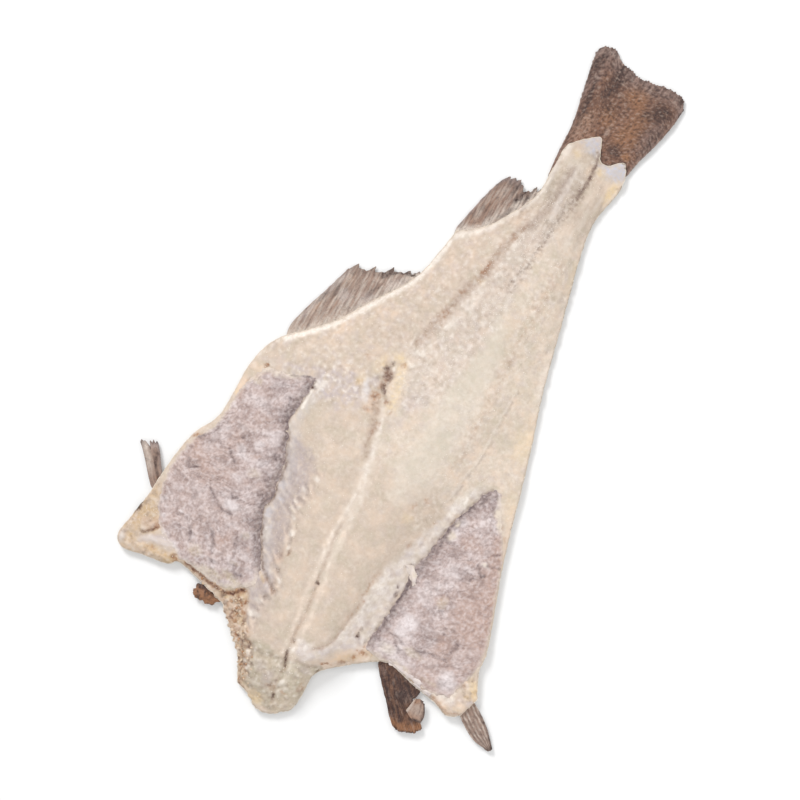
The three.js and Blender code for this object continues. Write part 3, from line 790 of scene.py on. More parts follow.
def fin_material():
    """Dried cod fin: skin shrunk hard over thin rays, so it is ribbed, dark and slightly satin.

    The fibres of its rays are under a millimetre wide. They are drawn as streaks that are 2.8 mm wide
    and 28 mm long, so that they show.
    """
    material, tree, place, blotches, freckle = start_material(
        FIN_MATERIAL, (2.8, 4, 0.75), (3.6, 3, 0.65))
    rays = add(tree, "ShaderNodeAttribute", attribute_name="rays").outputs["Vector"]
    along_rays = add(tree, "ShaderNodeMapping", {"Vector": rays, "Scale": (0.36, 0.035, 1.0)})
    streaks = add(tree, "ShaderNodeTexNoise", {
        "Vector": along_rays.outputs["Vector"], "Scale": 1.0, "Detail": 4, "Roughness": 0.65,
    }).outputs["Fac"]
    base = lay(tree, pick("fin_dark"), "fin_brown", 0.7, streaks, 0.3, 0.7, least=0.25)
    base = tints(tree, place, base, 5.5, ("fin_black", "rust", "fin_dark"), 0.4)
    base = layers(tree, base, [
        ("fin_dark", 0.5, freckle, 0.42, 0.6), ("fin_tan", 0.38, blotches, 0.44, 0.3)])
    base = layers(tree, base, [
        ("fin_tan", 0.85, "tan"), ("fin_brown", 0.75, "brown"), ("rust", 0.95, "rust"),
        ("lilac", 0.75, "lilac"), ("fin_pale", 0.9, "pale"), ("fin_black", 0.85, "shade")],
        blotches, (0.36, 0.64, 0.45, 1.45))
    base = layers(tree, base, [
        ("fin_black", 0.3, streaks, 0.52, 0.68), ("fin_black", 0.45, blotches, 0.5, 0.64),
        ("fin_black", 0.8, "dark_grain_and_shade"), ("fin_tan", 0.6, "crest_grain_and_highlight")])
    relief = add(tree, "ShaderNodeMath", {0: blotches, 1: streaks}, operation="ADD")
    finish_material(tree, base, 0.6, relief.outputs[0], 0.9, 0.7, 0.3)
    return material


def salt_material():
    """Coarse salt crystals: cloudy white, with a soft gloss on their faces.

    The frost on them is too fine to show, and is drawn 1 mm wide.
    """
    material, tree, _, clouds, pits = start_material("salt crystals", (20, 2, 0.6), (1.0, 2, 0.6))
    base = lay(tree, pick("salt"), "pale", 1.0, clouds, 0.4, 0.6)
    finish_material(tree, base, 0.4, pits, 0.2, 0.1, 0.5)
    return material


def floor_material():
    """Plain matt board. Its fibres are too fine to show, and are drawn 2 mm wide."""
    material, tree, _, clouds, pits = start_material(
        "matt white board", (60, 2, 0.6), (2, 2, 0.6))
    white = bpy.context.scene.cod_stage.floor
    base = add(tree, "ShaderNodeMix", {0: clouds, 6: colour([0.97 * c for c in white]), 7: colour(white)},
               data_type="RGBA").outputs[2]
    finish_material(tree, base, 0.9, pits, 0.02, 0.05, 0.1)
    return material


# ---------------------------------------------------------------- the flesh

RIM_ROUNDING = 110
SKIN_TURNS_UP = 0.25


def free_copy(piece, *notes):
    """A copy of a piece on its own, without the given notes of the frame."""
    take(piece)
    bpy.ops.object.duplicate()
    copy = bpy.context.object
    bpy.ops.object.parent_clear(type="CLEAR_KEEP_TRANSFORM")
    for note in notes:
        del copy[note]
    return copy


def edit_all(*steps):
    """Runs mesh operators on all of the active piece, each (operator, settings)."""
    bpy.ops.object.mode_set(mode="EDIT")
    for step, settings in steps:
        bpy.ops.mesh.select_all(action="SELECT")
        step(**settings)
    bpy.ops.object.mode_set(mode="OBJECT")


def prism(loop, low, high):
    """A solid with the given plan, from a circle that is drawn out to it and extruded."""
    deselect()
    bpy.ops.mesh.primitive_circle_add(vertices=len(loop), radius=MM, fill_type="NGON")
    piece = bpy.context.object
    set_points(piece, np.column_stack([loop, np.full(len(loop), float(low))]))
    rise = {"value": (0, 0, (high - low) * MM)}
    edit_all((bpy.ops.mesh.extrude_region_move, {"TRANSFORM_OT_translate": rise}),
             (bpy.ops.mesh.normals_make_consistent, {"inside": False}))
    return piece


def weigh(piece, name, weights, levels=8):
    """A vertex group with the given weights, rounded to a few levels."""
    group = piece.vertex_groups.new(name=name)
    for step in range(1, levels + 1):
        chosen = np.flatnonzero(np.round(weights * levels) == step)
        if len(chosen):
            group.add(chosen.tolist(), step / levels, "REPLACE")
    return name


def flakes(at):
    """The slanting edges of the muscle's flakes beside the left lining: 1 on a ridge, 0 between."""
    phase = (at[:, 1] + 0.72 * at[:, 0] + 8.0 * lumps(at, 32, 2, 21) + 1.8 * lumps(at, 7, 2, 22)) / 10.5
    wave = (0.5 + 0.5 * np.cos(2 * math.pi * phase)) ** 1.3
    return 0.5 + (wave - 0.5) * np.clip(0.55 + 0.8 * lumps(at, 15, 2, 23), 0, 1)


def flesh_grain(at):
    """The fine lumps of dried flesh over points of the plan, from about -1 to 1."""
    return 0.75 * lumps(ragged(at, 1.4, 7, 40), 4.6, 2, 41) + 0.5 * lumps(at, 2.9, 1, 42)


def left_of_spine(at):
    """Millimetres from each point to the spine on its right."""
    spine = spline(SPINE)
    return np.interp(at[:, 1], spine[:, 1], spine[:, 0]) - at[:, 0]


def lumpy_side(at):
    """1 well to the left of the spine behind the belly, falling to 0 at the spine."""
    return ease(left_of_spine(at), 0, 30) * ease(at[:, 1], -90, -30)


def coarseness(at):
    """How lumpy the dried flesh is over points of the plan, from 0.12 on the loins to 1.1."""
    uneven = ragged(at, 2.5, 10, 43)
    coarse = (0.2 + 0.42 * lumpy_side(at) + 0.2 * lumps(at, 32, 2, 44)
              + patches(uneven, (0.6, TAIL_BAND, 10), (0.45, UPPER_LILAC, 8), (0.3, LEFT_STREAKS, 8),
                        (0.6, NECK_STUB, 6), (0.7, RAGGED_NECK, 6), (0.5, OCHRE_COLLAR, 5),
                        (0.5, LEFT_LIP_FLESH, 4), (0.5, RIGHT_COLLAR_FLESH, 5), (0.35, RIGHT_BAND, 6))
              + strokes(uneven, (0.45, RIB_LINE, 10), (0.5, RIGHT_TAIL_LINE, 8), (0.4, LEFT_TAIL_LINE, 9))
              + 0.6 * blot(uneven, -38, -24, 34, 18, 85) + 0.35 * blot(uneven, 37, 100, 44, 14, 84)
              + 0.4 * blot(uneven, 45, -100, 30, 14, 80))
    return np.clip(coarse, 0.12, 1.1)


def ridges_of_seam(at):
    """The two broken ridges beside the cut along the spine."""
    ridges = sum(stroke(ragged(at, 1.1, 8, 45), line, 3.6) for line in SEAM_RIDGES)
    return ridges * np.clip(0.75 + 0.8 * lumps(at, 6.5, 2, 58), 0.2, 1.2)


def stalk_fibres(at):
    """Fine lines along the stalk of the tail, from about -1 to 1, fading out in front of it."""
    return (ease(at[:, 1], 120, 175) * (1 - ease(at[:, 1], 208, 222))
            * lumps(ragged(at, 1.4, 9, 59) * (1, 0.2), 6.5, 3, 57))


def flesh_relief(at, depth):
    """Height in millimetres to add to the flesh over points of the plan."""
    uneven, broken = ragged(at, 1.5, 7, 3), lumps(at, 9, 3, 6)
    behind, fresh = ease(-at[:, 1], 130, 148), ease(-at[:, 1], 146, 178)
    height = 0.45 * lumps(at, 30, 2, 1) + 0.25 * lumps(at, 9, 2, 2)
    height += 0.42 * coarseness(at) * flesh_grain(at)
    height += (patch(ragged(at, 4, 9, 3), LEFT_STREAKS, 8) * (flakes(uneven) - 0.5)
               * (1.1 + 0.9 * stroke(uneven, STREAK_ENDS, 16)))
    height += 0.35 * stalk_fibres(at) + 0.36 * ridges_of_seam(at)
    height += patch(uneven, TAIL_BAND, 6) * (
        0.25 * pebbles(uneven, 3.6, 1) + 0.3 * lumps(at, 5, 3, 5) - 0.15)
    height += 0.35 * stroke(uneven, RIB_LINE, 8) * pebbles(uneven, 3.2, 2)
    height -= 0.6 * stroke(uneven, LEFT_TAIL_LINE, 4.5) * (0.4 + 0.6 * pebbles(at, 5, 3))
    height -= 0.45 * stroke(ragged(at, 0.8, 6, 3), OUTER_RIB_LINE, 2.2)
    height -= 0.9 * stroke(ragged(at, 0.5, 6), TAIL_SLIT, 3.4)
    height -= (0.12 + 0.34 * behind) * stroke(ragged(at, 0.7, 7, 46), SEAM, 2.4)
    height += fresh * strokes(uneven, (0.3, RIGHT_LOIN_RIDGE, 4), (-0.45, RIGHT_LOIN_EDGE, 2.6))
    height += strokes(
        uneven, (0.4, STALK_RIDGE, 4.5), (1.0, LEFT_LIP, 5), (0.9, RIGHT_LIP, 5),
        (0.9, FIN_SIDE_RIM, 3.6), (0.7, REAR_FIN_SIDE_RIM, 4), (0.8, COLLAR_STRIP, 2.6),
        (0.9, WHITE_FOLD, 4), (-0.8, RIGHT_TAIL_LINE, 3.6), (-0.4, STALK_FURROW, 5),
        (-0.7, BACKBONE_LINE, 4.5), (-0.7, SCAR, 6), (-1.4, LEFT_CREASE, 4.6),
        (-1.1, RIGHT_CREASE, 4), (-0.7, COLLAR_CREASE, 2.6))
    height += strokes(at, (0.8, LINING_LIP, 2.4), (-1.1, CAVITY_FOLD, 2.6), (-1.6, NECK_SLIT, 2.6))
    height += 0.8 * stroke(at + (0.0, -3.0), CAVITY_FOLD, 3)
    height -= 0.6 * stroke(uneven + (-6.5, 4.0), FIN_SIDE_RIM, 4.5)
    height -= 1.3 * blots(at, BLOOD_SPOTS) + 0.4 * blots(at, RUST_SPOTS) + 0.7 * blots(at, END_SHADES)
    height += 0.7 * blots(at, PALE_SPOTS)
    height += patch(uneven, NECK_STUB, 4) * (0.9 * broken + 0.3 * pebbles(uneven, 3.6, 5) - 1.1)
    height += patch(uneven, RAGGED_NECK, 6) * (0.9 * broken + 0.7 * lumps(at, 4, 2, 7) - 0.5)
    height += 0.35 * patch(uneven, RIGHT_BAND, 8) * lumps(at, 7, 2, 4)
    height += 0.9 * (patch(uneven, COLLAR_FLAP, 3.5)
                     + patch(uneven, RIGHT_COLLAR_FLESH, 6) * lumps(at, 7, 3, 8)
                     + patches(uneven, (1, OCHRE_COLLAR, 6), (1, LEFT_LIP_FLESH, 4)) * lumps(at, 7, 3, 9))
    return height * ease(depth, -1, 3)


def flesh_masks(at):
    """Where each stain lies on the flesh side."""
    (x, y), wavy = at.T, ragged(at, 6, 20, 52)
    loose, close = ragged(at, 3.5, 12, 11), ragged(at, 1.2, 5, 12)
    rough, specks = ragged(close, 1.3, 2.8, 60), 0.6 + 0.8 * lumps(at, 2.8, 2, 61)
    dots, fine_dots = ease(lumps(at, 4.2, 2, 47), -0.35, 0.45), ease(lumps(at, 2.8, 2, 51), -0.1, 0.5)
    torn, stub = patch(close, RAGGED_NECK, 5), patch(close, NECK_STUB, 5)
    streaked, ends = patch(ragged(at, 5, 9, 3), LEFT_STREAKS, 11), stroke(close, STREAK_ENDS, 15)
    ridge, seam_ridges, fibres = flakes(ragged(at, 1.5, 7, 3)), ridges_of_seam(at), stalk_fibres(at)
    coarse, bumps = coarseness(at), flesh_grain(at)
    behind, fresh = ease(-y, 130, 148), ease(-y, 146, 178)
    swells, left, band = lumps(at, 15, 3, 48), lumpy_side(at), patch(loose, RIGHT_BAND, 7)
    spotted = 0.4 + 0.6 * dots
    flap = patch(close, COLLAR_FLAP, 2.5)
    return {
        "yellow": blots(rough, YELLOW_SPOTS) + 0.75 * stroke(rough, SCAR_HALO, 9) * (0.2 + 0.8 * specks)
        + 0.04 * ease(x, 20, 80) * ease(y, -90, 40),
        "peach": blots(close, PEACH_SPOTS) + 0.6 * stroke(close, COLLAR_STRIP, 3)
        + patches(close, (0.6, LEFT_LIP_FLESH, 5), (0.4, RIGHT_COLLAR_FLESH, 8), (0.4, COLLAR_BAND, 4),
                  (0.35, OCHRE_COLLAR, 6))
        + 0.7 * flap + 0.4 * torn + 0.9 * streaked * ends * ridge + 0.5 * seam_ridges * behind
        + 0.34 * ease(swells, 0.0, 0.8) + 0.3 * left * ease(lumps(at, 8, 2, 71), 0.05, 0.6),
        "ochre": (0.8 * patch(close, OCHRE_COLLAR, 6) * (1 - flap) + 0.45 * patch(close, LEFT_LIP_FLESH, 5))
        * (0.3 + 0.7 * ease(lumps(at, 6, 2, 62), -0.35, 0.35)) + blots(rough, OCHRE_SPOTS) + 0.25 * torn,
        "green": blots(loose, GREEN_SPOTS) + 0.8 * stub + 0.35 * patch(loose, LEFT_FRONT, 8)
        + 0.42 * ease(-swells, 0.0, 0.8) + 0.25 * patch(wavy, COOL_STRIP, 12),
        # The lilac deepens in the troughs between the flakes' ridges, partly as painted shade over the
        # membrane's own colour.
        "lilac": blots(close, LILAC_SPOTS)
        + streaked * (0.5 + 0.9 * (1 - ridge) + 0.4 * lumps(at, 9, 2, 53)) * (1 - 0.6 * ends)
        + 0.35 * left * ease(lumps(at, 7.5, 2, 70), 0.0, 0.6) + 0.25 * patch(loose, TAIL_BAND, 8)
        + 0.9 * patch(loose, UPPER_LILAC, 10) * (0.7 + 0.9 * lumps(at, 6, 2, 20))
        + band * (0.55 + 0.7 * lumps(at, 8, 2, 63))
        + 0.3 * patch(close, RIGHT_COLLAR_FLESH, 8) * ease(lumps(at, 7, 2, 64), -0.2, 0.5),
        "membrane": patches(ragged(at, 2.5, 4, 54), *((1, loop, 9) for loop in TAIL_MEMBRANES))
        * (0.85 + 0.8 * lumps(at, 3.2, 2, 55)) + blots(close, MEMBRANE_SPOTS)
        + 0.4 * stroke(close + (-6.0, 0.0), LEFT_CREASE, 8) * (1 - 0.7 * ridge),
        "tan": (0.8 + 0.35 * lumps(at, 6, 2, 72))
        * np.maximum(ease(left_of_spine(at), -10, 30), ease(-y, 60, 100))
        + streaked * (0.6 + 0.5 * ridge) + 0.9 * ease(y, 130, 185) + 0.6 * stub
        + patches(close, (0.9, OCHRE_COLLAR, 5), (0.6, LEFT_LIP_FLESH, 5))
        + 0.5 * stroke(close, BACKBONE_LINE, 9) + 0.35 * stroke(close + (-7.0, 4.0), FIN_SIDE_RIM, 7)
        + strokes(rough, *((0.9, line, 3.4) for line in COLLAR_BANDS)),
        # Painted highlight on the tops of the fine lumps, and painted shade between them.
        "crest_grain_and_highlight": coarse * ease(bumps, 0.05, 0.75),
        "dark_grain_and_shade": coarse * ease(-bumps, 0.05, 0.75),
        "pale": blots(close, PALE_SPOTS) + 0.34 * seam_ridges + 0.22 * ease(-fibres, 0.05, 0.6)
        + 0.26 * stroke(loose, SEAM, 10) * ease(-y, 60, 100) * (1 - ease(-y, 160, 210))
        + strokes(close, (0.3 * fresh * specks, RIGHT_LOIN_RIDGE, 4), (0.3, WHITE_FOLD, 4),
                  (0.4, STALK_RIDGE, 4), (1.0, FIN_SIDE_RIM, 4.4), (0.8, REAR_FIN_SIDE_RIM, 5))
        + 0.42 * band * (0.9 + 0.9 * lumps(at, 8, 2, 49)) + 0.5 * stroke(rough, STALK_STREAK, 5) * specks
        + 0.4 * stroke(close + (-4.5, 0.0), BACKBONE_LINE, 4)
        + 0.3 * stroke(close + (2.2, 0.0), OUTER_RIB_LINE, 2)
        # The pale strip just right of the left crease is a painted highlight on the loin's wall that faces
        # the light.
        + 0.2 * stroke(close + (-5.0, 0.0), LEFT_CREASE, 6) + 0.3 * patch(wavy, COOL_STRIP, 16)
        + stroke(at, LINING_LIP, 2.6) + 0.2 * streaked * ridge * ends
        + 0.2 * stub * ease(lumps(at, 7, 2, 50), 0.1, 0.6)
        + 0.3 * torn * ease(lumps(at, 6, 2, 13), 0.2, 0.6),
        "rust": blots(rough, RUST_SPOTS) * (0.4 + specks) + 0.9 * blot(at, -141, -220, 4, 3)
        + strokes(rough, (0.35 * fine_dots, SCAR, 6), (0.5 * fresh * specks, RIGHT_LOIN_EDGE, 3))
        + strokes(close, (0.4, RIGHT_COLLAR_RUST, 2.6), (0.9, LEFT_FRONT_EDGE, 4),
                  (0.4 * (0.3 + 0.7 * dots), LEFT_TAIL_LINE, 7), (0.25 * dots, RIB_LINE, 7),
                  (0.3 * spotted, BACKBONE_LINE, 7), (0.2 * behind, SEAM, 2.4), (0.55, RIGHT_LIP, 1.8))
        + 0.65 * torn * ease(lumps(at, 5, 2, 14), -0.3, 0.4) + 0.3 * patch(close, COLLAR_FLAP, 3)
        + 0.4 * stroke(at, COLLAR_CREASE, 2.2),
        # Besides dark lines and spots, this mask paints shade into the creases beside the linings, the
        # cavity fold, the seam's groove and between the flakes' ridges; the end shades are painted shadows.
        "shade": blots(rough, END_SHADES) + 0.3 * ease(fibres, 0.05, 0.6)
        + strokes(rough, (0.5 * dots, SCAR, 6), *((0.5, line, 2.2) for line in COLLAR_BANDS))
        + strokes(close, (0.3, LEFT_TAIL_LINE, 6), (0.85 * (0.2 + 0.8 * fine_dots), RIGHT_TAIL_LINE, 6),
                  (0.4, STALK_FURROW, 6), (0.45 * spotted, BACKBONE_LINE, 7),
                  (0.35 * ease(-y, 180, 220), RIGHT_LOIN_EDGE, 2.2), (0.7, CAVITY_FOLD, 2.4),
                  (0.8, LEFT_CREASE, 2.6), (0.6, RIGHT_CREASE, 2.6), (0.4, NECK_STEP, 3))
        + 0.5 * patches(close, (1, OCHRE_COLLAR, 5), (1, LEFT_LIP_FLESH, 4), (1, RIGHT_COLLAR_FLESH, 5))
        * ease(lumps(at, 4.5, 2, 65), 0.15, 0.7)
        + patches(close, (0.22, OCHRE_COLLAR, 5), (0.08, LEFT_LIP_FLESH, 4),
                  (0.1 * ease(y, 30, 70), TAIL_BAND, 8))
        + 0.8 * blot(rough, 132.5, -203, 2, 3.4) + 0.1 * left * ease(y, -30, 10)
        + 0.16 * ease(y, 120, 180) * (1 - 0.8 * ease(x, 24, 36))
        + 0.5 * dots * stroke(ragged(at, 0.8, 6, 3), OUTER_RIB_LINE, 2.2)
        + 0.42 * behind * stroke(ragged(at, 0.7, 7, 46), SEAM, 2)
        * np.clip(0.6 + 1.2 * lumps(at, 9, 2, 73), 0.1, 1)
        + streaked * (1 - ridge) * (0.5 + 0.15 * ends) + 0.35 * torn * fine_dots
        + 0.4 * stub * ease(lumps(at, 5, 2, 15), 0.05, 0.6),
        # Besides real clots, this mask paints the neck and tail slits and the deepest creases near black as
        # shade.
        "blood": blots(rough, BLOOD_SPOTS) * (0.7 + 0.3 * specks) + 0.4 * blot(at, -85, -57, 2.2, 2.2)
        + strokes(at, (0.9, COLLAR_BIT, 3.2), (0.8, NECK_SLIT, 1.8))
        + strokes(close, (0.7, LEFT_FRONT_EDGE, 2), (0.6, COLLAR_CREASE, 1.8),
                  (0.5 * dots, LEFT_CREASE, 1.6), (0.5 * dots, RIGHT_CREASE, 1.8))
        + 0.6 * stroke(ragged(at, 0.5, 6), TAIL_SLIT, 2.3)
        + 0.6 * torn * ease(lumps(at, 4.5, 2, 16), 0.15, 0.55)}


class COD_OT_flesh(bpy.types.Operator):
    """Makes the split body: its flesh side in full detail and a plainer base under the skin"""

    bl_idname = "cod.flesh"
    bl_label = "Flesh"

    def execute(self, context):
        loop = body_outline()
        flesh = free_copy(frame["nodes"][CAD_NODE], "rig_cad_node", "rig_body")
        edit_all((bpy.ops.mesh.remove_doubles, {"threshold": 0.01 * MM}))
        cutter = prism(loop, -5, 60)
        apply_modifier(flesh, "BOOLEAN", operation="INTERSECT", object=cutter, solver="EXACT",
                       use_self=True)
        bpy.data.objects.remove(cutter)
        apply_modifier(flesh, "REMESH", mode="VOXEL", voxel_size=sizes().cell)
        border = np.vstack([loop, loop[:1]])
        depth = distance(border, get_points(flesh)[:, :2])
        apply_modifier(flesh, "SMOOTH", factor=0.5, iterations=RIM_ROUNDING, use_x=False, use_y=False,
                       vertex_group=weigh(flesh, "rounding", ease(depth, 2, 9)))
        self.thin_underside(flesh)
        self.shape(flesh, border)
        settle(flesh, "flesh", flesh_material())
        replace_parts(flesh, CAD_NODE)
        return {"FINISHED"}

    def thin_underside(self, flesh):
        under = 1 - ease(get_normals(flesh)[:, 2], -0.75, -0.65)
        faces, before = 2 * len(under), 2 * int(under.sum())
        apply_modifier(flesh, "DECIMATE", ratio=1 - (before - sizes().underside) / faces,
                       vertex_group=weigh(flesh, "underside", under, 1), vertex_group_factor=1.0)
        flesh.vertex_groups.clear()

    def shape(self, flesh, border):
        points, normals = get_points(flesh), get_normals(flesh)
        at = points[:, :2].copy()
        depth = distance(border, at)
        up, top = ease(normals[:, 2], 0.1, 0.6), normals[:, 2] > 0.1
        level_top = softened(top_finder(frame["nodes"][CAD_NODE]), at[top])
        points[top, 2] += up[top] * ease(depth[top], 5, 10) * (level_top - points[top, 2])
        points[top, 2] += up[top] * flesh_relief(at[top], depth[top])
        frayed = 0.35 + 1.6 * blot(at, -45, -262, 55, 22, -45) + 0.7 * blot(at, 10, -300, 40, 20)
        rim = 1 - ease(depth, 2, 7)
        points[:, :2] += normals[:, :2] * (rim * frayed * lumps(at, 4.5, 3, 17))[:, None]
        root = distance(spline(TAIL_ROOT), at)
        near_tail = top & (at[:, 1] > 170)
        thin = 4.5 + 0.13 * root + 0.003 * root ** 2
        points[near_tail, 2] = np.minimum(points[near_tail, 2], thin[near_tail])
        lowest = sizes().skin / MM + DORSAL_BED * dorsal_bed(at)
        points[:, 2] = np.maximum(points[:, 2], lowest)
        set_points(flesh, points)
        for name, values in flesh_masks(at[top]).items():
            full = np.zeros(len(at))
            full[top] = values
            set_mask(flesh, name, full)


class COD_OT_skin(bpy.types.Operator):
    """Makes the skin: a thin shell over the underside of the flesh and up its rim"""

    bl_idname = "cod.skin"
    bl_label = "Skin"

    def execute(self, context):
        skin = free_copy(bpy.data.objects["flesh"], "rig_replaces")
        bpy.ops.object.mode_set(mode="EDIT")
        bpy.ops.mesh.select_all(action="DESELECT")
        bpy.ops.object.mode_set(mode="OBJECT")
        facing = np.empty(len(skin.data.polygons) * 3, np.float32)
        skin.data.polygons.foreach_get("normal", facing)
        skin.data.polygons.foreach_set("select", facing[2::3] > SKIN_TURNS_UP)
        bpy.ops.object.mode_set(mode="EDIT")
        bpy.ops.mesh.delete(type="FACE")
        bpy.ops.mesh.select_all(action="SELECT")
        bpy.ops.object.mode_set(mode="OBJECT")
        for attribute in [a.name for a in skin.data.attributes if a.data_type == "FLOAT"]:
            skin.data.attributes.remove(skin.data.attributes[attribute])
        apply_modifier(skin, "SOLIDIFY", thickness=sizes().skin, offset=1)
        points = get_points(skin)
        points[:, 2] = np.maximum(points[:, 2], 0)
        set_points(skin, points)
        self.paint(skin, points[:, :2])
        settle(skin, "skin", skin_material())
        return {"FINISHED"}

    def paint(self, skin, at):
        back, loop = distance(spline(SPINE), at), body_outline()
        depth = distance(np.vstack([loop, loop[:1]]), at)
        side = (34 + 12 * lumps(at, 160, 1, 18)) * ease(-at[:, 1], -330, 260)
        set_mask(skin, "rim", ease(get_normals(skin)[:, 2], -0.75, -0.2) * (1 - ease(depth, 1, 5)))
        set_mask(skin, "belly", ease(back, 70, 110))
        set_mask(skin, "bit", blot(at, -164, -213, 7, 8))
        set_mask(skin, "line", 1 - ease(np.abs(back - side), 1, 3.5))


# ---------------------------------------------------------------- thin sheets

def line_at(line, share):
    """Points at shares from 0 to 1 of a smooth line's length."""
    points = spline(line, 8)
    run = np.append(0, np.cumsum(np.hypot(*np.diff(points, axis=0).T)))
    return np.column_stack([np.interp(share, run / run[-1], points[:, k]) for k in (0, 1)])


class Border:
    """The four border lines of a sheet. left and right hold its corners, root end first."""

    def __init__(self, left, right, root=(), tip=()):
        self.left, self.right = left, right
        self.root = [left[0], *root, right[0]]
        self.tip = [left[-1], *tip, right[-1]]

    def place(self, u, v):
        """Points of the sheet: u runs from left to right and v from root to tip."""
        a, b = u[:, None], v[:, None]
        corners = [np.array(p, float) for p in (self.left[0], self.right[0], self.left[-1],
                                                self.right[-1])]
        return ((1 - b) * line_at(self.root, u) + b * line_at(self.tip, u)
                + (1 - a) * line_at(self.left, v) + a * line_at(self.right, v)
                - (1 - a) * (1 - b) * corners[0] - a * (1 - b) * corners[1]
                - (1 - a) * b * corners[2] - a * b * corners[3])

    def loop(self):
        return np.vstack([spline(self.root), spline(self.right), spline(self.tip)[::-1],
                          spline(self.left)[::-1]])


def close_sheet(piece, thickness, facing=1):
    """Turns a sheet's faces up, or down with facing -1, and gives it its wall behind them."""
    if get_normals(piece)[:, 2].mean() * facing < 0:
        take(piece)
        edit_all((bpy.ops.mesh.flip_normals, {}))
    return apply_modifier(piece, "SOLIDIFY", thickness=thickness * MM, offset=-1)


LINING_LEFT = Border(
    left=[(-139, -219), (-146, -210), (-151, -200), (-155.5, -180), (-155, -160), (-150, -142),
        (-142, -128), (-139.5, -112), (-138, -90), (-135.5, -77), (-130, -64)],
    right=[(-46, -222), (-50, -207), (-58, -193), (-64, -183), (-68, -174), (-72, -165),
        (-70, -152), (-73, -142), (-74, -132), (-76, -122), (-81, -112), (-85, -100), (-90, -91),
        (-89, -75), (-88, -60), (-88, -49)],
    root=[(-130, -226), (-120, -229), (-112, -234), (-104, -235), (-90, -236), (-75, -238),
        (-65, -236), (-54, -229)],
    tip=[(-125, -61), (-119, -60), (-112, -58.5), (-105, -55), (-98, -51)])
LINING_RIGHT = Border(
    left=[(58, -222), (57, -212), (59, -200), (61, -182), (62, -167), (60, -146), (64, -130),
        (66, -117), (69, -97), (74, -82), (79, -66), (86, -55)],
    right=[(138, -223), (142, -209), (146, -197), (146.5, -182), (143.5, -167), (138.5, -152),
        (132.5, -137), (127.5, -122), (121.5, -106), (114, -92), (105, -78), (98, -66), (91, -55)],
    root=[(75, -225), (85, -222), (100, -224), (120, -227)])

# Soft areas of the linings, as the stains of the flesh. The shade lists hold darker patches and, along the
# creases beside the loins, painted shade.
LEFT_LINING_SHADE = [
    (-93, -82, 10, 6, 90, 0.6), (-97, -74, 5, 4, 0.4), (-84, -110, 8, 5, -60, 0.6),
    (-84, -123, 7, 6, 0.7), (-78, -142, 9, 10, 0.75), (-77, -154, 10, 8, 0.8),
    (-72, -165, 5, 7, 30, 0.9), (-74, -178, 9, 7, 0.6), (-66, -185, 16, 6, -60, 0.75),
    (-57, -199, 12, 6, -55, 0.75), (-142, -162, 10, 6, 20, 0.5), (-114, -120, 6, 5, 0.35),
    (-148, -138, 6, 3, 40, 0.5), (-96, -207, 10, 4, -65, 0.5), (-114, -212, 6, 4, 0.5),
    (-100, -53, 12, 4, 22, 0.5), (-137, -128, 12, 4, 90, 0.5), (-92, -58, 6, 4, -60, 0.5),
    (-86, -137, 6, 4, 40, 0.4), (-121, -115, 10, 6, 0.25), (-60, -222, 12, 4, 30, 0.4)]
LEFT_LINING_PALE = [
    (-97, -175, 12, 6.5, 5, 0.95), (-104, -153, 10, 6, 0.6), (-112, -131, 10, 5, -55, 0.7),
    (-79, -128, 3, 2.5, 0.8), (-130, -200, 3, 1.8, 0.9), (-148, -198, 5, 4, 60, 0.8),
    (-141, -210, 4, 3, 0.7), (-101, -207, 3, 3, 0.7), (-98, -223, 8, 2, 5, 0.8),
    (-120, -228, 12, 4, -20, 0.8), (-106, -234, 6, 4, 0.8), (-132, -222, 8, 5, 0.5),
    (-95, -108, 12, 10, 60, 0.35), (-70, -205, 9, 5, 0.35), (-90, -190, 8, 5, 0.3),
    (-120, -90, 16, 8, 0.3), (-102, -120, 6, 5, 0.5), (-92, -133, 9, 5, 0.4),
    (-77, -190, 8, 4, -40, 0.4), (-57, -214, 7, 4, 0.5)]
LEFT_LINING_OLIVE = [
    (-66, -227, 14, 5, -10, 0.9), (-104, -222, 9, 7, 0.6), (-74, -191, 6, 5, 0.5),
    (-84, -231, 16, 5, 0.8), (-129, -75, 6, 5, 0.6), (-93, -143, 8, 6, 0.35), (-70, -215, 6, 3, 0.4)]
LEFT_LINING_BROWN = [
    (-140, -156, 14, 12, 0.6), (-122, -162, 26, 12, 10, 0.4), (-92, -206, 9, 9, 0.55),
    (-147, -146, 8, 8, 0.7), (-84, -202, 10, 6, 0.4), (-118, -122, 10, 8, 0.3), (-136, -64, 9, 5, 0.6),
    (-112, -200, 14, 10, 0.25), (-76, -148, 8, 12, 0.5)]
LEFT_LINING_RUST = [
    (-131, -71, 8, 5, 50, 0.9), (-136, -91, 3.5, 9, 4, 0.6), (-139, -112, 3, 8, 8, 0.35),
    (-122, -64, 5, 4, 0.4)]
LEFT_LINING_CREASES = [
    [(-122, -135), (-116, -140), (-110, -144)], [(-107, -180), (-100, -182), (-92, -182)],
    [(-134, -200), (-132, -203), (-128, -202)], [(-101, -167), (-98, -169), (-94, -168)], [(-98, -202),
    (-94, -210), (-91, -217)], [(-117, -208), (-114, -213), (-112, -217)], [(-147, -159), (-142, -164),
    (-136, -161)], [(-138, -126), (-141, -133), (-148, -139)], [(-108, -58), (-100, -54), (-92, -50)],
    [(-90, -94), (-86, -101), (-82, -106)], [(-95, -86), (-91, -91)], [(-86, -120), (-83, -125)],
    [(-118, -172), (-112, -176), (-107, -179)], [(-79, -196), (-77, -202)], [(-91, -222), (-82, -223)],
    [(-72, -217), (-66, -222), (-60, -222)], [(-113, -118), (-116, -122)], [(-99, -74), (-97, -79)]]
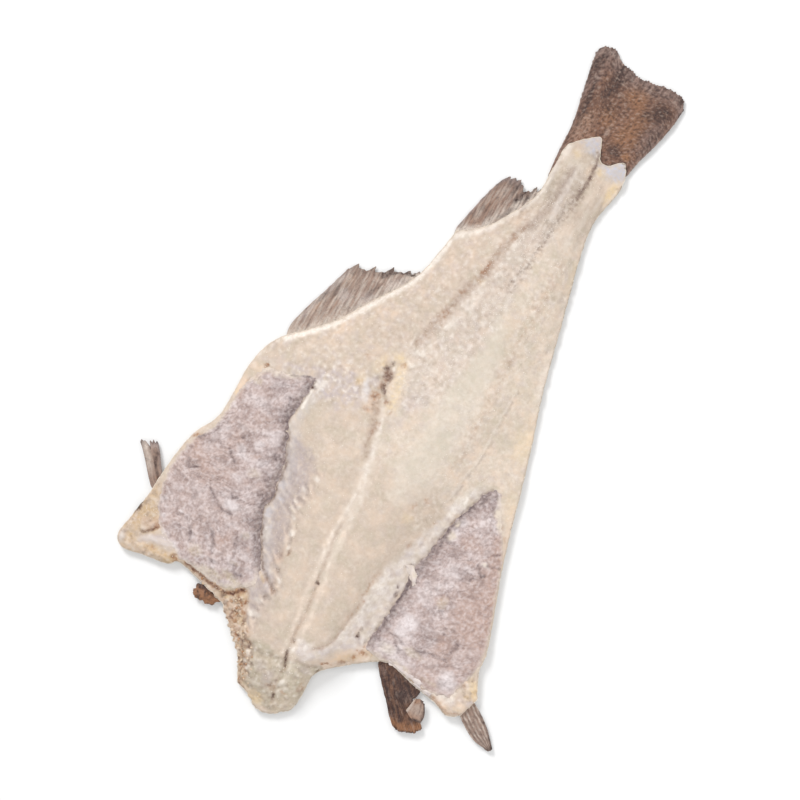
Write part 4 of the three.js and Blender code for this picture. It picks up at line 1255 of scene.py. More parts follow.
RIGHT_LINING_SHADE = [
    (76, -77, 4, 4, 0.9), (80, -68, 10, 5, 60, 0.5), (73, -88, 5, 3, 0.7), (69.5, -98, 3.5, 3.5, 1),
    (73.5, -96, 2.5, 2.5, 0.9), (70, -104, 3, 2.5, 0.9), (70, -111, 2.5, 2.5, 0.9),
    (75, -112, 3, 2.5, 0.8), (94, -70, 5, 3.5, -30, 0.8), (96, -77, 4, 2.5, 0.5), (112, -90, 4, 3, 0.7),
    (90, -60, 5, 3, -50, 0.6), (66, -120, 16, 5, 85, 0.6), (65, -138, 8, 4, 90, 0.7),
    (62, -158, 12, 3.5, 90, 0.8), (63, -172, 10, 3.5, 90, 0.7), (61, -184, 5, 4, 30, 1),
    (59.5, -193, 5, 4, 90, 0.9), (64, -196, 8, 5, 90, 0.5), (58, -208, 10, 3.5, 90, 0.8),
    (56, -215, 4, 3, 0.8), (98, -186, 14, 8, 0.4), (97, -128, 14, 6, 20, 0.35), (88, -142, 4, 3, 0.5),
    (97, -165, 6, 3, 40, 0.6), (76, -122, 12, 5, 20, 0.4), (122, -186, 8, 4, 90, 0.5),
    (113, -166, 4, 3, 0.4), (125, -215, 5, 3, -40, 0.5), (110, -222, 16, 3, -3, 0.4)]
RIGHT_LINING_PALE = [
    (79, -186, 12, 12, 1), (76, -196, 10, 6, 0.8), (74, -104, 5.5, 8.5, 1), (77, -92, 4, 4, 0.8),
    (109, -113, 5, 4, 0.9), (131, -214, 13, 12, 1), (72, -214, 12, 8, 0.7), (90, -217, 16, 5, 0.5),
    (82, -150, 14, 8, 0.35), (92, -82, 14, 8, 0.4), (88, -134, 12, 6, 20, 0.35), (104, -84, 6, 5, 0.5),
    (128, -208, 10, 9, 30, 0.8), (130, -196, 9, 6, 0.4), (107, -104, 6, 5, 0.4), (86, -196, 6, 5, 0.6)]
RIGHT_LINING_OLIVE = [
    (94, -206, 12, 5, 0.6), (118, -220, 12, 3, 0.4), (74, -213, 10, 7, 0.5), (95, -158, 6, 8, 0.5),
    (98, -70, 6, 8, 0.6)]
RIGHT_LINING_BROWN = [
    (118, -106, 10, 14, 20, 0.8), (128, -138, 7, 12, 0.9), (92, -102, 16, 12, 0.5),
    (118, -156, 16, 12, 0.6), (137, -160, 6, 16, 15, 0.7), (104, -140, 16, 12, 0.3),
    (94, -156, 8, 8, 0.4), (112, -92, 8, 6, 0.5)]
RIGHT_LINING_RUST = [
    (119, -102, 4, 7, 10, 0.7), (129, -137, 4.5, 8, 10, 0.8), (98, -118, 6, 4, 0.5),
    (124, -110, 4, 3, 0.6), (126, -126, 2.5, 8, 10, 0.5), (136, -154, 3, 10, 12, 0.5)]
RIGHT_LINING_CREASES = [
    [(105, -116), (108, -120), (111, -124), (114, -122)], [(112, -113), (116, -112), (124, -109)],
    [(84, -203), (74, -201), (66, -201)], [(76, -204), (81, -208), (83, -212)], [(107, -175),
    (108, -180)], [(123, -181), (122, -187), (120, -193)], [(62, -153), (63, -162), (62, -178)],
    [(97, -134), (103, -131), (108, -128)], [(96, -163), (99, -166)], [(116, -100), (112, -103)],
    [(121, -198), (104, -200), (96, -203)], [(69, -95), (70, -99)], [(69, -103), (71, -105)],
    [(69, -110), (71, -112)], [(75, -111), (78, -112)], [(76, -77), (73, -88)]]
# Lumps of cream-coloured flesh on the linings.
CREAM_LUMPS = [
    (74, -106, 5.5, 6, 1), (73, -95, 3, 4, 0.9), (109, -113, 4.5, 3, 0.8), (98, -72, 6, 5, -40, 0.7),
    (104, -80, 5, 4, -40, 0.7), (-85, -53, 2.4, 2.4, 0.8)]


class COD_OT_linings(bpy.types.Operator):
    """Makes the dried linings of the two belly flaps: thin, crinkled sheets with torn edges"""

    bl_idname = "cod.linings"
    bl_label = "Belly linings"

    def execute(self, context):
        material = lining_material()
        self.make("belly_lining_left", LINING_LEFT, (116, 190), material, 30, LEFT_LINING_CREASES,
                  LEFT_CREASE, {"brown": LEFT_LINING_BROWN, "olive": LEFT_LINING_OLIVE,
                                "rust": LEFT_LINING_RUST, "shade": LEFT_LINING_SHADE,
                                "pale": LEFT_LINING_PALE})
        self.make("belly_lining_right", LINING_RIGHT, (90, 190), material, 40, RIGHT_LINING_CREASES,
                  RIGHT_CREASE, {"brown": RIGHT_LINING_BROWN, "olive": RIGHT_LINING_OLIVE,
                                 "rust": RIGHT_LINING_RUST, "shade": RIGHT_LINING_SHADE,
                                 "pale": RIGHT_LINING_PALE})
        return {"FINISHED"}

    def make(self, name, border, cells, material, seed, creases, dark_side, areas):
        piece, u, v = new_sheet(*cells)
        at = border.place(u, v)
        edge = distance(border.loop(), at)
        tear = (1 - ease(edge, 0, 5))[:, None] * 1.2
        at = at + tear * np.column_stack([lumps(at, 5, 3, seed), lumps(at, 5, 3, seed + 1)])
        close, left = ragged(at, 1.2, 5, seed + 2), at[:, 0].mean() < 0
        # inner is the strip beside the loin, painted darker as shade.
        inner = stroke(close, dark_side, 11)
        smooth, cream_lumps = blots(at, areas["pale"][:2]), blots(close, CREAM_LUMPS)
        dark, bright = blots(close, areas["shade"]), blots(close, areas["pale"])
        turned = at @ np.array([[0.91, -0.42], [0.42, 0.91]])
        if left:
            lower = ease(-ragged(at, 14, 45, seed + 17)[:, 1:], 150, 176)
            turned = turned + lower * (at @ np.array([[0.77, 0.64], [-0.64, 0.77]]) - turned)
        patchy = np.clip(0.32 + 0.8 * lumps(at, 16, 2, seed + 20), 0.05, 0.9) * (1 - 0.8 * smooth)
        # Each wrinkle line is painted dark as shade, and the line just beside it painted pale as the
        # highlight on its lit side.
        wrinkle, crest_line = (patchy * (1 - ease(np.abs(
            lumps(ragged(points, 1.2, 6, seed + 18) * (0.34, 1.0), 5.2, 2, seed + 19)), 0.0, 0.16))
            for points in (turned, turned + (0.0, -1.3)))
        folds = 1 - np.abs(lumps(ragged(at, 4, 20, seed + 3) * (0.55, 1.0), 15, 2, seed + 4))
        crinkle = (1 - 0.6 * smooth) * (0.75 * lumps(ragged(at, 1.3, 5, seed + 7), 3.5, 2, seed + 8)
                                        + 0.55 * lumps(at, 2.2, 1, seed + 9))
        swell = lumps(ragged(turned, 3, 14, seed + 12) * (0.5, 1.0), 10, 3, seed + 13)
        streak = lumps(turned * (0.3, 1.0), 4.5, 2, seed + 14)
        pits = (strokes(ragged(at, 1.3, 5, seed + 2), *((1, crease, 2.0) for crease in creases))
                * np.clip(0.85 + 0.9 * lumps(at, 5, 2, seed + 16), 0.2, 1))
        outer = ease(np.abs(at[:, 0]), 98, 112) * ease(-at[:, 1], 70, 84)
        lift = 0.05 + 0.7 * ease(edge, 0, 3.5) + ease(edge, 0, 5) * (
            0.35 * ease(folds, 0.7, 1.0) + 0.7 * swell + 0.25 * streak + 0.3 * crinkle
            + 0.6 * ease(smooth, 0.2, 0.6) - 0.45 * dark - 0.35 * wrinkle + 0.25 * crest_line
            + 1.2 * cream_lumps) - 0.8 * pits + 0.9 * stroke(close + (0.0, -2.4), creases[0], 3)
        height = top_finder(bpy.data.objects["flesh"])(at, 5) + np.maximum(lift, 0.04)
        set_points(piece, np.column_stack([at, height]))
        fade = 1 - ease(edge + (2.2 - 1.2 * outer) * lumps(at, 6, 2, seed + 6), 0, 6 - 3.2 * outer)
        fade = fade * (1 - stroke(at, dark_side, 14)) * (1 - 0.35 * outer)
        blood = (0.16 + 0.3 * ease(lumps(at, 17, 2, seed + 15), 0.0, 0.6) + (0.2 if left else 0.5) * outer
                 + 0.45 * ease(at[:, 0], 104, 126) * ease(at[:, 1], -185, -160))
        # The washes paint shade in the lows of the swells and streaks and beside the loin, and highlight on
        # their tops.
        washes = {"shade": (0.06 if left else 0.03) + 0.4 * ease(-swell, 0.0, 0.6)
                  + 0.12 * ease(-streak, 0.1, 0.6) + 0.6 * inner,
                  "pale": 0.34 * ease(swell, 0.0, 0.6) + 0.1 * ease(streak, 0.1, 0.6),
                  "brown": (1 - 0.9 * bright) * blood}
        masks = {mask: blots(close, spots) + washes.get(mask, 0) for mask, spots in areas.items()}
        # The crease and hollow masks paint shade into the creases, wrinkles and crinkles' lows; the crest
        # mask paints highlight on their tops and lit sides.
        masks |= {"crease": 0.7 * pits + 0.22 * wrinkle
                  + 0.6 * inner * ease(lumps(at, 4, 2, seed + 10), -0.5, 0.4),
                  "crest_grain_and_highlight": 0.95 * ease(crinkle, 0.0, 0.6) + 0.9 * crest_line * (1 - wrinkle),
                  "dark_grain_and_shade": 0.95 * ease(-crinkle, 0.0, 0.6) + wrinkle,
                  "rim": 0.85 * fade + 0.9 * cream_lumps}
        for mask_name, values in masks.items():
            set_mask(piece, mask_name, values)
        close_sheet(piece, sizes().lining / MM)
        settle(piece, name, material)


# ---------------------------------------------------------------- fins

TAIL_FIN = Border(
    left=[(-1, 180), (-6, 192), (-8.5, 213), (-10, 238), (-15, 263), (-20, 286), (-22.5, 300)],
    right=[(45, 205), (50, 222), (53, 238), (57, 252), (60.5, 266), (63, 280), (64, 294)],
    root=[(12, 200), (30, 206)],
    tip=[(-21, 306), (-14, 310), (-6, 308.5), (2, 303), (10, 302), (20, 299.8), (30, 301.5),
        (40, 303.5), (50, 304.8), (57, 304), (62, 299)])
FRONT_ANAL_FIN = Border(
    left=[(-124, -40), (-129, -24), (-125, -4), (-118, 18), (-110, 45)],
    right=[(-50, 62), (-56, 71)],
    root=[(-102, -12), (-84, 8), (-66, 34)],
    tip=[(-105, 51), (-98, 51), (-92, 54), (-85, 57), (-76, 63), (-66, 67)])
REAR_ANAL_FIN = Border(
    left=[(-44, 104), (-50, 114), (-46, 138), (-41, 159), (-36, 173)],
    right=[(2, 166), (-4, 181)],
    root=[(-26, 118), (-10, 140)],
    tip=[(-30, 177), (-22, 177), (-17, 173), (-11, 176)])
LEFT_PELVIC_FIN = Border(
    left=[(-150, -196), (-160, -196), (-167, -190), (-176, -180), (-184, -171.5), (-190, -166)],
    right=[(-150, -180), (-158, -181), (-163, -176), (-170, -166.5), (-176, -159.5)],
    tip=[(-187, -163.5), (-182, -162)])
RIGHT_PELVIC_FIN = Border(
    left=[(146, -226), (157, -234), (166, -240), (175, -244), (184, -245), (189, -244.8)],
    right=[(148, -210), (160, -217), (171, -223.5), (181, -231.5), (187, -238.5), (190.6, -243)],
    tip=[(190.6, -244.2)])
RIGHT_PECTORAL_FIN = Border(
    left=[(70, -218), (74, -228), (85, -240.5), (97, -253), (108, -264), (112, -266.5)],
    right=[(106, -218), (114.5, -230), (115, -236), (113.5, -240), (124, -250), (129, -254),
        (132.5, -257.5)],
    root=[(88, -216)],
    tip=[(118, -267.5), (124, -265), (129, -262.5), (132, -259)])
PECTORAL_CURL = Border(
    left=[(113, -250), (114, -243), (114.5, -238)],
    right=[(129, -253), (128.5, -246), (124, -238)],
    root=[(121, -254)],
    tip=[(119, -235.5)])
# Soft areas of the fins, as the stains of the flesh. The root edge is where the flesh ends over the tail
# fin; the fin is painted darker along it as the flesh's shadow.
TAIL_FIN_ROOT_EDGE = [
    (22, 230), (25, 224), (29, 222), (34, 223.5), (39, 228.5), (43.5, 231.5), (48, 227)]
TAIL_FIN_AREAS = {
    "brown": [(30, 262, 34, 14, 86, 0.9), (2, 238, 20, 12, 80, 0.8), (22, 286, 14, 12, 0.7),
              (10, 262, 20, 12, 80, 0.5)],
    "rust": [(34, 252, 18, 14, 80, 0.6), (26, 284, 13, 14, 0.65), (42, 237, 6, 5, 0.9),
             (14, 258, 14, 10, 90, 0.5), (-2, 250, 10, 8, 90, 0.3), (36, 270, 16, 12, 90, 0.4)],
    "tan": [(0, 240, 20, 10, 92, 1), (-3, 213, 16, 7, 92, 0.7), (-18, 291, 2.4, 2.4, 1),
            (-12, 282, 3, 2, 1), (-6, 276, 2, 2, 0.9), (12, 278, 2, 2, 1), (15, 280, 2, 2, 1),
            (25, 273, 2.6, 2.2, 1), (18, 250, 10, 3, 90, 0.7), (10, 289, 3, 3, 0.7),
            (20, 226, 8, 3, 70, 0.8)],
    "lilac": [(-14, 278, 26, 9, 80, 0.2), (52, 262, 30, 9, 82, 0.2)],
    "shade": [(-18, 284, 26, 7, 80, 0.6), (4, 284, 26, 9, 84, 0.75), (50, 282, 14, 13, 60, 0.8),
              (40, 276, 8, 6, 0.6), (31, 237, 9, 9, 0.85), (11, 266, 10, 8, 0.45),
              (54, 260, 26, 5, 80, 0.6), (60, 300, 5, 3, -40, 0.9), (-9, 262, 30, 3.5, 99, 0.8)],
    "pale": [(-6, 306, 12, 3, 0.3)]}
FRONT_ANAL_AREAS = {
    "brown": [(-90, 46, 16, 10, 0.45)],
    "rust": [(-118, 2, 10, 3, 80, 0.7), (-105, 36, 12, 6, 90, 0.35), (-107, 12, 18, 4, 88, 0.3)],
    "lilac": [(-103, 22, 9, 8, 0.6), (-84, 28, 12, 9, 50, 0.6), (-114, 26, 26, 4, 70, 0.6),
              (-122, -4, 18, 3, 76, 0.6), (-70, 50, 14, 8, 50, 0.5)],
    "shade": [(-110, 22, 10, 3, 88, 0.6), (-84, 36, 12, 3, 70, 0.5), (-80, 54, 10, 4, 50, 0.6),
              (-66, 64, 6, 4, 30, 0.7), (-117, 14, 16, 2, 76, 0.5)]}
REAR_ANAL_AREAS = {
    "pale": [(-42, 118, 12, 8, 0.5)],
    "rust": [(-40, 128, 10, 8, 0.35), (-34, 150, 12, 7, 70, 0.25)],
    "shade": [(-18, 164, 12, 4, 75, 0.9), (-24, 168, 8, 3, 80, 0.7), (-12, 168, 8, 3, 80, 0.8),
              (-20, 148, 14, 3, 60, 0.5)]}
LEFT_PELVIC_AREAS = {
    "rust": [(-160, -186, 4, 3, 0.5)],
    "shade": [(-169, -175, 8, 2.2, 118, 1), (-171, -169, 3, 2, 0.9), (-163, -183, 10, 2.4, 130, 0.6),
              (-159, -186, 4, 3, 0.7)]}
PECTORAL_AREAS = {
    "tan": [(98, -247, 4, 2, 60, 0.7), (105, -249, 2, 2, 0.6)],
    "lilac": [(108, -240, 9, 10, 45, 0.2), (80, -232, 8, 5, -45, 0.2)],
    "shade": [(113, -260, 3, 3, 0.8), (120, -259, 2.4, 2.4, 0.6)]}


def teeth(share, rays, seed):
    """How far each ray reaches past the others, from 0 to 1, with notches between them."""
    reach = np.random.default_rng(seed).uniform(0.1, 1.0, rays + 1)
    ray = np.clip((share * rays).astype(int), 0, rays)
    across = share * rays - ray
    return reach[ray] * np.minimum(across / 0.62, (1 - across) / 0.38)


def make_fin(name, border, cells, rays, heights, seed, masks, arch=0.0, tips=None, tooth=1.5, ridge=0.3,
             furrow=0.1, mottle=0.3, wave=0.4, thickness=None, facing=1, split=0.0, upright=False,
             fray=0.0, streak=(1.0, 1.0)):
    """A fin with its rays running from root to tip, or along the fish where it is upright.

    heights are its face's, at root and tip. The vector rays holds millimetres across and along.
    """
    piece, u, v = new_sheet(*cells)
    at = border.place(u, v)
    outward = border.place(u, np.ones_like(v)) - border.place(u, np.full_like(v, 0.8))
    outward /= np.maximum(np.hypot(*outward.T), 1e-6)[:, None]
    width, run = np.hypot(*(border.place(np.array([0.0, 0.5]), np.array([0.5, 0.0]))
                            - border.place(np.array([1.0, 0.5]), np.array([0.5, 1.0]))).T)
    across = (at[:, 0] - at[:, 0].min()) / np.ptp(at[:, 0]) if upright else u
    wander = across + 0.003 * lumps(at, 18, 2, seed) + fray * lumps(at * (1, 0), 11, 2, seed + 6)
    along = at if upright else np.column_stack([u * width, v * run])
    push = (tooth * (teeth(np.clip(wander, 0, 0.999), tips or rays, seed) - 0.6)
            - split * (1 - ease(np.abs(u - 0.45), 0.0, 0.13))
            + 60 * fray * lumps(at * (1, 0), 7, 3, seed + 7))
    at = at + outward * (push * ease(v, 0.8, 1))[:, None]
    rib = 0.5 + 0.5 * np.cos(2 * math.pi * rays * wander)
    grainy = along * (1, 0.3 * streak[1] / streak[0])
    pitted = 0.9 * lumps(grainy, 3.0, 2, seed + 2) + 0.5 * lumps(grainy, 2.2, 2, seed + 4)
    height = (heights[0] + (heights[1] - heights[0]) * v + arch * (1 - (2 * u - 1) ** 2)
              + wave * ease(v, 0.1, 0.5) * lumps(at, 28, 2, seed + 1)
              + facing * (ridge * rib * ease(v, 0.05, 0.3) + 0.3 * pitted))
    set_points(piece, np.column_stack([at, height]))
    set_directions(piece, "rays", along * streak)
    all_masks = {"dark_grain_and_shade": furrow * (1 - rib) * ease(v, 0.0, 0.3) + mottle * ease(-pitted, 0.0, 0.6),
                 "crest_grain_and_highlight": 0.8 * mottle * ease(pitted, 0.15, 0.8),
                 **masks(ragged(at, 0.6, 6, seed + 3), u, v)}
    for mask_name, values in all_masks.items():
        set_mask(piece, mask_name, values)
    close_sheet(piece, sizes().fin / MM if thickness is None else thickness, facing)
    return settle(piece, name, bpy.data.materials[FIN_MATERIAL])


def ray_lines(at, spacing, seed, run=0.1):
    """Streaks that run along the rays, towards the tail: 1 in the light ones, 0 in the dark."""
    return ease(lumps(at * (1, run), spacing, 2, seed), -0.45, 0.45)


def tail_masks(at, u, v):
    edge_side, top = np.minimum(u, 1 - u), ease(v, 0.82, 0.97)
    streaks, areas = ray_lines(at, 3.4, 62, 0.2), area_masks(at, TAIL_FIN_AREAS)
    return {"brown": 0.25 + areas["brown"],
            "rust": 0.12 + areas["rust"],
            "tan": areas["tan"] + 0.2 * top * streaks,
            "lilac": areas["lilac"] + 0.3 * top + 0.15 * (1 - ease(edge_side, 0.02, 0.08)),
            # The stroke along the root edge is the flesh's shadow, painted on the fin.
            "shade": areas["shade"] + 0.9 * stroke(at, TAIL_FIN_ROOT_EDGE, 3)
            + 0.55 * top * (1 - streaks) + 0.14 * ease(v, 0.3, 0.6),
            "pale": areas["pale"] + 0.3 * (1 - ease(edge_side, 0.0, 0.02))}


def front_anal_masks(at, u, v):
    streaks, areas = ray_lines(at, 2.4, 60), area_masks(at, FRONT_ANAL_AREAS)
    near = 1 - ease(distance(spline(FIN_SIDE_RIM), at) + 2 * lumps(at, 6, 2, 66), 2, 10)
    tip = ease(v, 0.78, 0.97) * (1 - 0.6 * streaks) * (0.4 + 0.6 * ease(at[:, 0], -96, -78))
    light = streaks * (1 - 0.5 * ease(v, 0.75, 1)) * (1 - 0.6 * near)
    return {"tan": 0.92, "pale": 0.08 + 0.62 * near + 0.45 * light,
            "brown": areas["brown"] + 0.3 * (1 - streaks), "rust": areas["rust"], "lilac": areas["lilac"],
            "shade": tip + areas["shade"] * (1 - 0.5 * near)}


def rear_anal_masks(at, u, v):
    streaks, areas = ray_lines(at, 2.4, 61), area_masks(at, REAR_ANAL_AREAS)
    near = 1 - ease(distance(spline(REAR_FIN_SIDE_RIM), at) + 2 * lumps(at, 6, 2, 67), 3, 9)
    return {"tan": 0.75, "pale": areas["pale"] + 0.7 * near + 0.3 * streaks * (1 - ease(v, 0.7, 1)),
            "brown": 0.45 * (1 - streaks), "rust": areas["rust"],
            "lilac": 0.55 * ease(v, 0.85, 1) * (1 - ease(u, 0.4, 0.6)) + 0.5 * (1 - ease(u, 0, 0.06)),
            "shade": areas["shade"] + 0.5 * ease(v, 0.8, 1)}


def left_pelvic_masks(at, u, v):
    areas = area_masks(at, LEFT_PELVIC_AREAS)
    return {"tan": 0.85, "brown": 0.3,
            "pale": 0.6 * blot(at, -178, -175, 22, 6, 133) + 0.4 * blot(at, -184, -167, 6, 4, 140),
            "rust": areas["rust"],
            "shade": areas["shade"] + 0.55 * ease(u, 0.84, 0.98) + 0.5 * ease(v, 0.86, 1.0)
            + 0.3 * (1 - ease(u, 0.0, 0.16)),
            "lilac": 0.5 * ease(v, 0.78, 0.9) + 0.4 * ease(u, 0.78, 0.92)}


def right_pelvic_masks(at, u, v):
    ribs = 0.5 + 0.5 * np.cos(2 * math.pi * 5 * (u + 0.07 * lumps(at, 7, 2, 63)))
    ribs = ribs * np.clip(0.6 + 0.9 * lumps(at, 5, 2, 68), 0, 1)
    return {"tan": 0.85, "brown": 0.5, "pale": 0.1 + 0.6 * ribs * (1 - ease(v, 0.7, 1)),
            "shade": 0.35 * (1 - ribs) * ease(v, 0.2, 0.4) + 0.45 * ease(v, 0.88, 1)
            + 0.55 * ease(u, 0.84, 0.97) * ease(v, 0.3, 0.45),
            "lilac": 0.2 * ease(v, 0.5, 1)}


def pectoral_masks(at, u, v):
    end, areas = ease(v, 0.80, 0.93), area_masks(at, PECTORAL_AREAS)
    streaks = ray_lines(np.column_stack([at[:, 0] + at[:, 1], at[:, 1] - at[:, 0]]), 3.6, 64, 0.12)
    return {"brown": 0.45 * streaks + 0.9 * end, "rust": 0.5 * streaks + end,
            "tan": areas["tan"] + 0.6 * end * blot(at, 127, -257, 6, 4, 30), "lilac": areas["lilac"],
            "shade": areas["shade"] + (1 - end) * (1.0 - 0.35 * streaks) + 0.8 * ease(v, 0.97, 1)}


def curl_masks(at, u, v):
    edge = np.minimum.reduce([u, 1 - u, v, 1 - v])
    # Pale along the left edge, which faces the light, is a painted highlight, and the dark round the edges
    # of the right half is painted shade.
    return {"tan": 1, "pale": 0.25 * blot(at, 120, -246, 7, 9) + 0.6 * (1 - ease(u, 0.05, 0.2)),
            "brown": 0.4, "rust": 0.7 * blot(at, 117, -239, 5, 4) + 0.5 * blot(at, 120, -252, 8, 5),
            "shade": 0.95 * (1 - ease(edge + 0.3 * (u < 0.5), 0.05, 0.16))}


def dorsal_masks(at, u, v):
    return {"brown": 0.7 * ease(lumps(at, 14, 2, 71), -0.3, 0.4),
            "tan": 0.55 * ease(lumps(at, 9, 2, 72), 0, 0.5), "shade": 0.35 * (1 - ease(v, 0, 0.3))}


class COD_OT_ray_fins(bpy.types.Operator):
    """Makes the tail fin and the two anal fins, which are broad and end in broken rays"""

    bl_idname = "cod.ray_fins"
    bl_label = "Tail and anal fins"

    def execute(self, context):
        fin_material()
        make_fin("tail_fin", TAIL_FIN, (200, 110), 40, (3.4, 3.0), 100, tail_masks, tips=44, ridge=0.12,
                 furrow=0.12, mottle=0.75, wave=0.9, fray=0.015, streak=(1.3, 7.0))
        make_fin("anal_fin_front", FRONT_ANAL_FIN, (150, 80), 27, (3.2, 2.8), 110, front_anal_masks,
                 tips=12, tooth=6.5, furrow=0.18, mottle=0.25, wave=0.8, upright=True, fray=0.012,
                 streak=(1.5, 1.2))
        make_fin("anal_fin_rear", REAR_ANAL_FIN, (110, 64), 20, (3.2, 2.8), 120, rear_anal_masks,
                 tips=11, tooth=5.0, furrow=0.25, mottle=0.4, wave=0.7, upright=True, fray=0.012,
                 streak=(1.5, 1.6))
        return {"FINISHED"}


class COD_OT_paired_fins(bpy.types.Operator):
    """Makes the two slender pelvic fins and the dark pectoral fin with its curled lobe"""

    bl_idname = "cod.paired_fins"
    bl_label = "Pelvic and pectoral fins"

    def execute(self, context):
        make_fin("pelvic_fin_left", LEFT_PELVIC_FIN, (60, 60), 4, (4.6, 3.4), 130, left_pelvic_masks,
                 arch=1.0, tips=6, tooth=4.0, ridge=0.35, furrow=0.15, mottle=0.25, split=5.0)
        make_fin("pelvic_fin_right", RIGHT_PELVIC_FIN, (60, 60), 5, (4.4, 3.0), 140, right_pelvic_masks,
                 arch=1.0, tips=7, tooth=2.0, ridge=0.6, mottle=0.2)
        make_fin("pectoral_fin_right", RIGHT_PECTORAL_FIN, (90, 80), 17, (3.4, 4.4), 150, pectoral_masks,
                 arch=0.9, tips=9, tooth=2.0, ridge=0.45, furrow=0.35, mottle=0.35, wave=1.0,
                 thickness=1.6)
        make_fin("pectoral_curl_right", PECTORAL_CURL, (36, 40), 4, (5.0, 5.8), 156, curl_masks,
                 arch=1.4, tips=5, tooth=0.6, wave=0.5, thickness=1.2)
        return {"FINISHED"}


DORSAL_FINS = [(-238, -154, 36, 44), (-134, -6, 32, 40), (22, 126, 26, 34)]
DORSAL_BED = 1.0
STUMP_FURROW = [(-90, -247), (-80, -246), (-66, -249)]


def dorsal_borders():
    """The borders of the three dorsal fins, which grow from the line of the back."""
    spine = spline(SPINE)
    for start, end, reach, sweep in DORSAL_FINS:
        def at(share, out, back):
            y = end + (start - end) * (1 - share)
            return (float(np.interp(y, spine[:, 1], spine[:, 0])) + out, y + back)
        yield Border(
            left=[at(0, -1.5, 0), at(0, reach * 0.5, sweep * 0.62), at(0, reach, sweep * 1.25)],
            right=[at(1, -1.5, 0), at(1, 0.10 * reach, 0.3 * sweep), at(1, 0.32 * reach, 0.55 * sweep)],
            root=[at(0.5, -1.5, 0)], tip=[at(0.5, 0.75 * reach, sweep)])


def dorsal_bed(at):
    """True where the skin side is sunk a little, so that a dorsal fin lies in it."""
    loops = [border.loop() for border in dorsal_borders()]
    near = [inside(loop, at) | (distance(loop, at) < 2.0) for loop in loops]
    return (left_of_spine(at) < 0) & np.any(near, axis=0)


class COD_OT_dorsal_fins(bpy.types.Operator):
    """Makes the three dorsal fins, folded flat on the skin side and pointing to the tail"""

    bl_idname = "cod.dorsal_fins"
    bl_label = "Dorsal fins"

    def execute(self, context):
        for number, border in enumerate(dorsal_borders(), 1):
            make_fin(f"dorsal_fin_{number}", border, (120, 46), 16, (0.45, 0.45), 160 + 10 * number,
                     dorsal_masks, tooth=3.0, ridge=0.0, furrow=0.5, wave=0.0, thickness=1.3, facing=-1)
        return {"FINISHED"}


class COD_OT_pectoral_stump(bpy.types.Operator):
    """Makes the torn stump of the left pectoral fin: a short, lumpy, red-brown knob"""

    bl_idname = "cod.pectoral_stump"
    bl_label = "Pectoral stump"

    def execute(self, context):
        deselect()
        bpy.ops.mesh.primitive_uv_sphere_add(segments=96, ring_count=64, radius=MM)
        piece = bpy.context.object
        ball = get_points(piece)
        size, centre = np.array([11.5, 6.8, 3.4]), np.array([-78.0, -250.0, 4.4])
        points = ball * size + centre
        flat = points[:, :2]
        rough = 0.30 * lumps(flat, 8, 2, 82) + 0.16 * lumps(flat, 3, 2, 81)
        points = centre + (points - centre) * (1 + rough)[:, None]
        points[:, 2] -= 1.3 * stroke(flat, STUMP_FURROW, 2.5) * (ball[:, 2] > 0)
        set_points(piece, points)
        at = points[:, :2]
        set_directions(piece, "rays", at)
        set_mask(piece, "rust", 0.8 * ease(-at[:, 1], 245, 249))
        set_mask(piece, "brown", 0.7)
        set_mask(piece, "tan", 0.4 * blot(at, -82, -250, 6, 2.5) + 0.4 * blot(at, -66, -246, 6, 4))
        set_mask(piece, "shade", 0.9 * (1 - ease(-at[:, 1], 244, 250))
                 + 0.7 * ease(-lumps(at, 4.5, 2, 83), 0.0, 0.5))
        settle(piece, "pectoral_stump_left", bpy.data.materials[FIN_MATERIAL])
        return {"FINISHED"}


# ---------------------------------------------------------------- small pieces

TORN_SHEETS = [
    Border(left=[(51, -145), (57, -149), (63, -155), (67, -158)],
           right=[(55, -143), (61, -144), (66, -150), (69, -156)]),
    Border(left=[(80, -223.5), (96, -225), (112, -227.5)], right=[(80, -221), (97, -221.5), (114, -223)]),
    Border(left=[(96, -228.5), (108, -230.5), (124, -231)],
           right=[(96, -226.5), (110, -227), (126, -227.5)]),
]
CRUMB_LINE = [(-100, -236), (-78, -239), (-60, -238), (-50, -246), (-38, -262), (-26, -280), (-18, -296)]


class COD_OT_torn_sheets(bpy.types.Operator):
    """Makes the torn scraps of membrane that lie on the flesh and the linings"""

    bl_idname = "cod.torn_sheets"
    bl_label = "Torn membranes"

    def execute(self, context):
        under = ("flesh", "belly_lining_left", "belly_lining_right")
        finders = [top_finder(bpy.data.objects[name]) for name in under]
        pieces = [self.make(number, border, finders) for number, border in enumerate(TORN_SHEETS)]
        take(pieces[0])
        for piece in pieces:
            piece.select_set(True)
        bpy.ops.object.join()
        settle(bpy.context.object, "torn_membranes", bpy.data.materials["dried belly lining"])
        return {"FINISHED"}

    def make(self, number, border, finders):
        piece, u, v = new_sheet(26, 26)
        at = border.place(u, v)
        edge = np.minimum.reduce([u, 1 - u, v, 1 - v])
        tear = (1 - ease(edge, 0, 0.25))[:, None] * 1.8
        at = at + tear * np.column_stack([lumps(at, 5, 3, 90 + number), lumps(at, 5, 3, 120 + number)])
        base = np.maximum.reduce([find(at, 3.5) for find in finders])
        raised = 1.4 if number == 0 else 0.35
        height = (np.maximum(base, np.percentile(base, 10)) + raised * ease(edge, 0, 0.3) + 0.15
                  + 0.2 * lumps(at, 6, 2, 150 + number))
        set_points(piece, np.column_stack([at, height]))
        set_mask(piece, "pale", 0.75 + 0.3 * lumps(at, 5, 2, 180 + number))
        set_mask(piece, "rim", 0.35 + 0.3 * (number == 0) + 0.3 * lumps(at, 6, 2, 190 + number))
        return close_sheet(piece, sizes().sheet / MM)


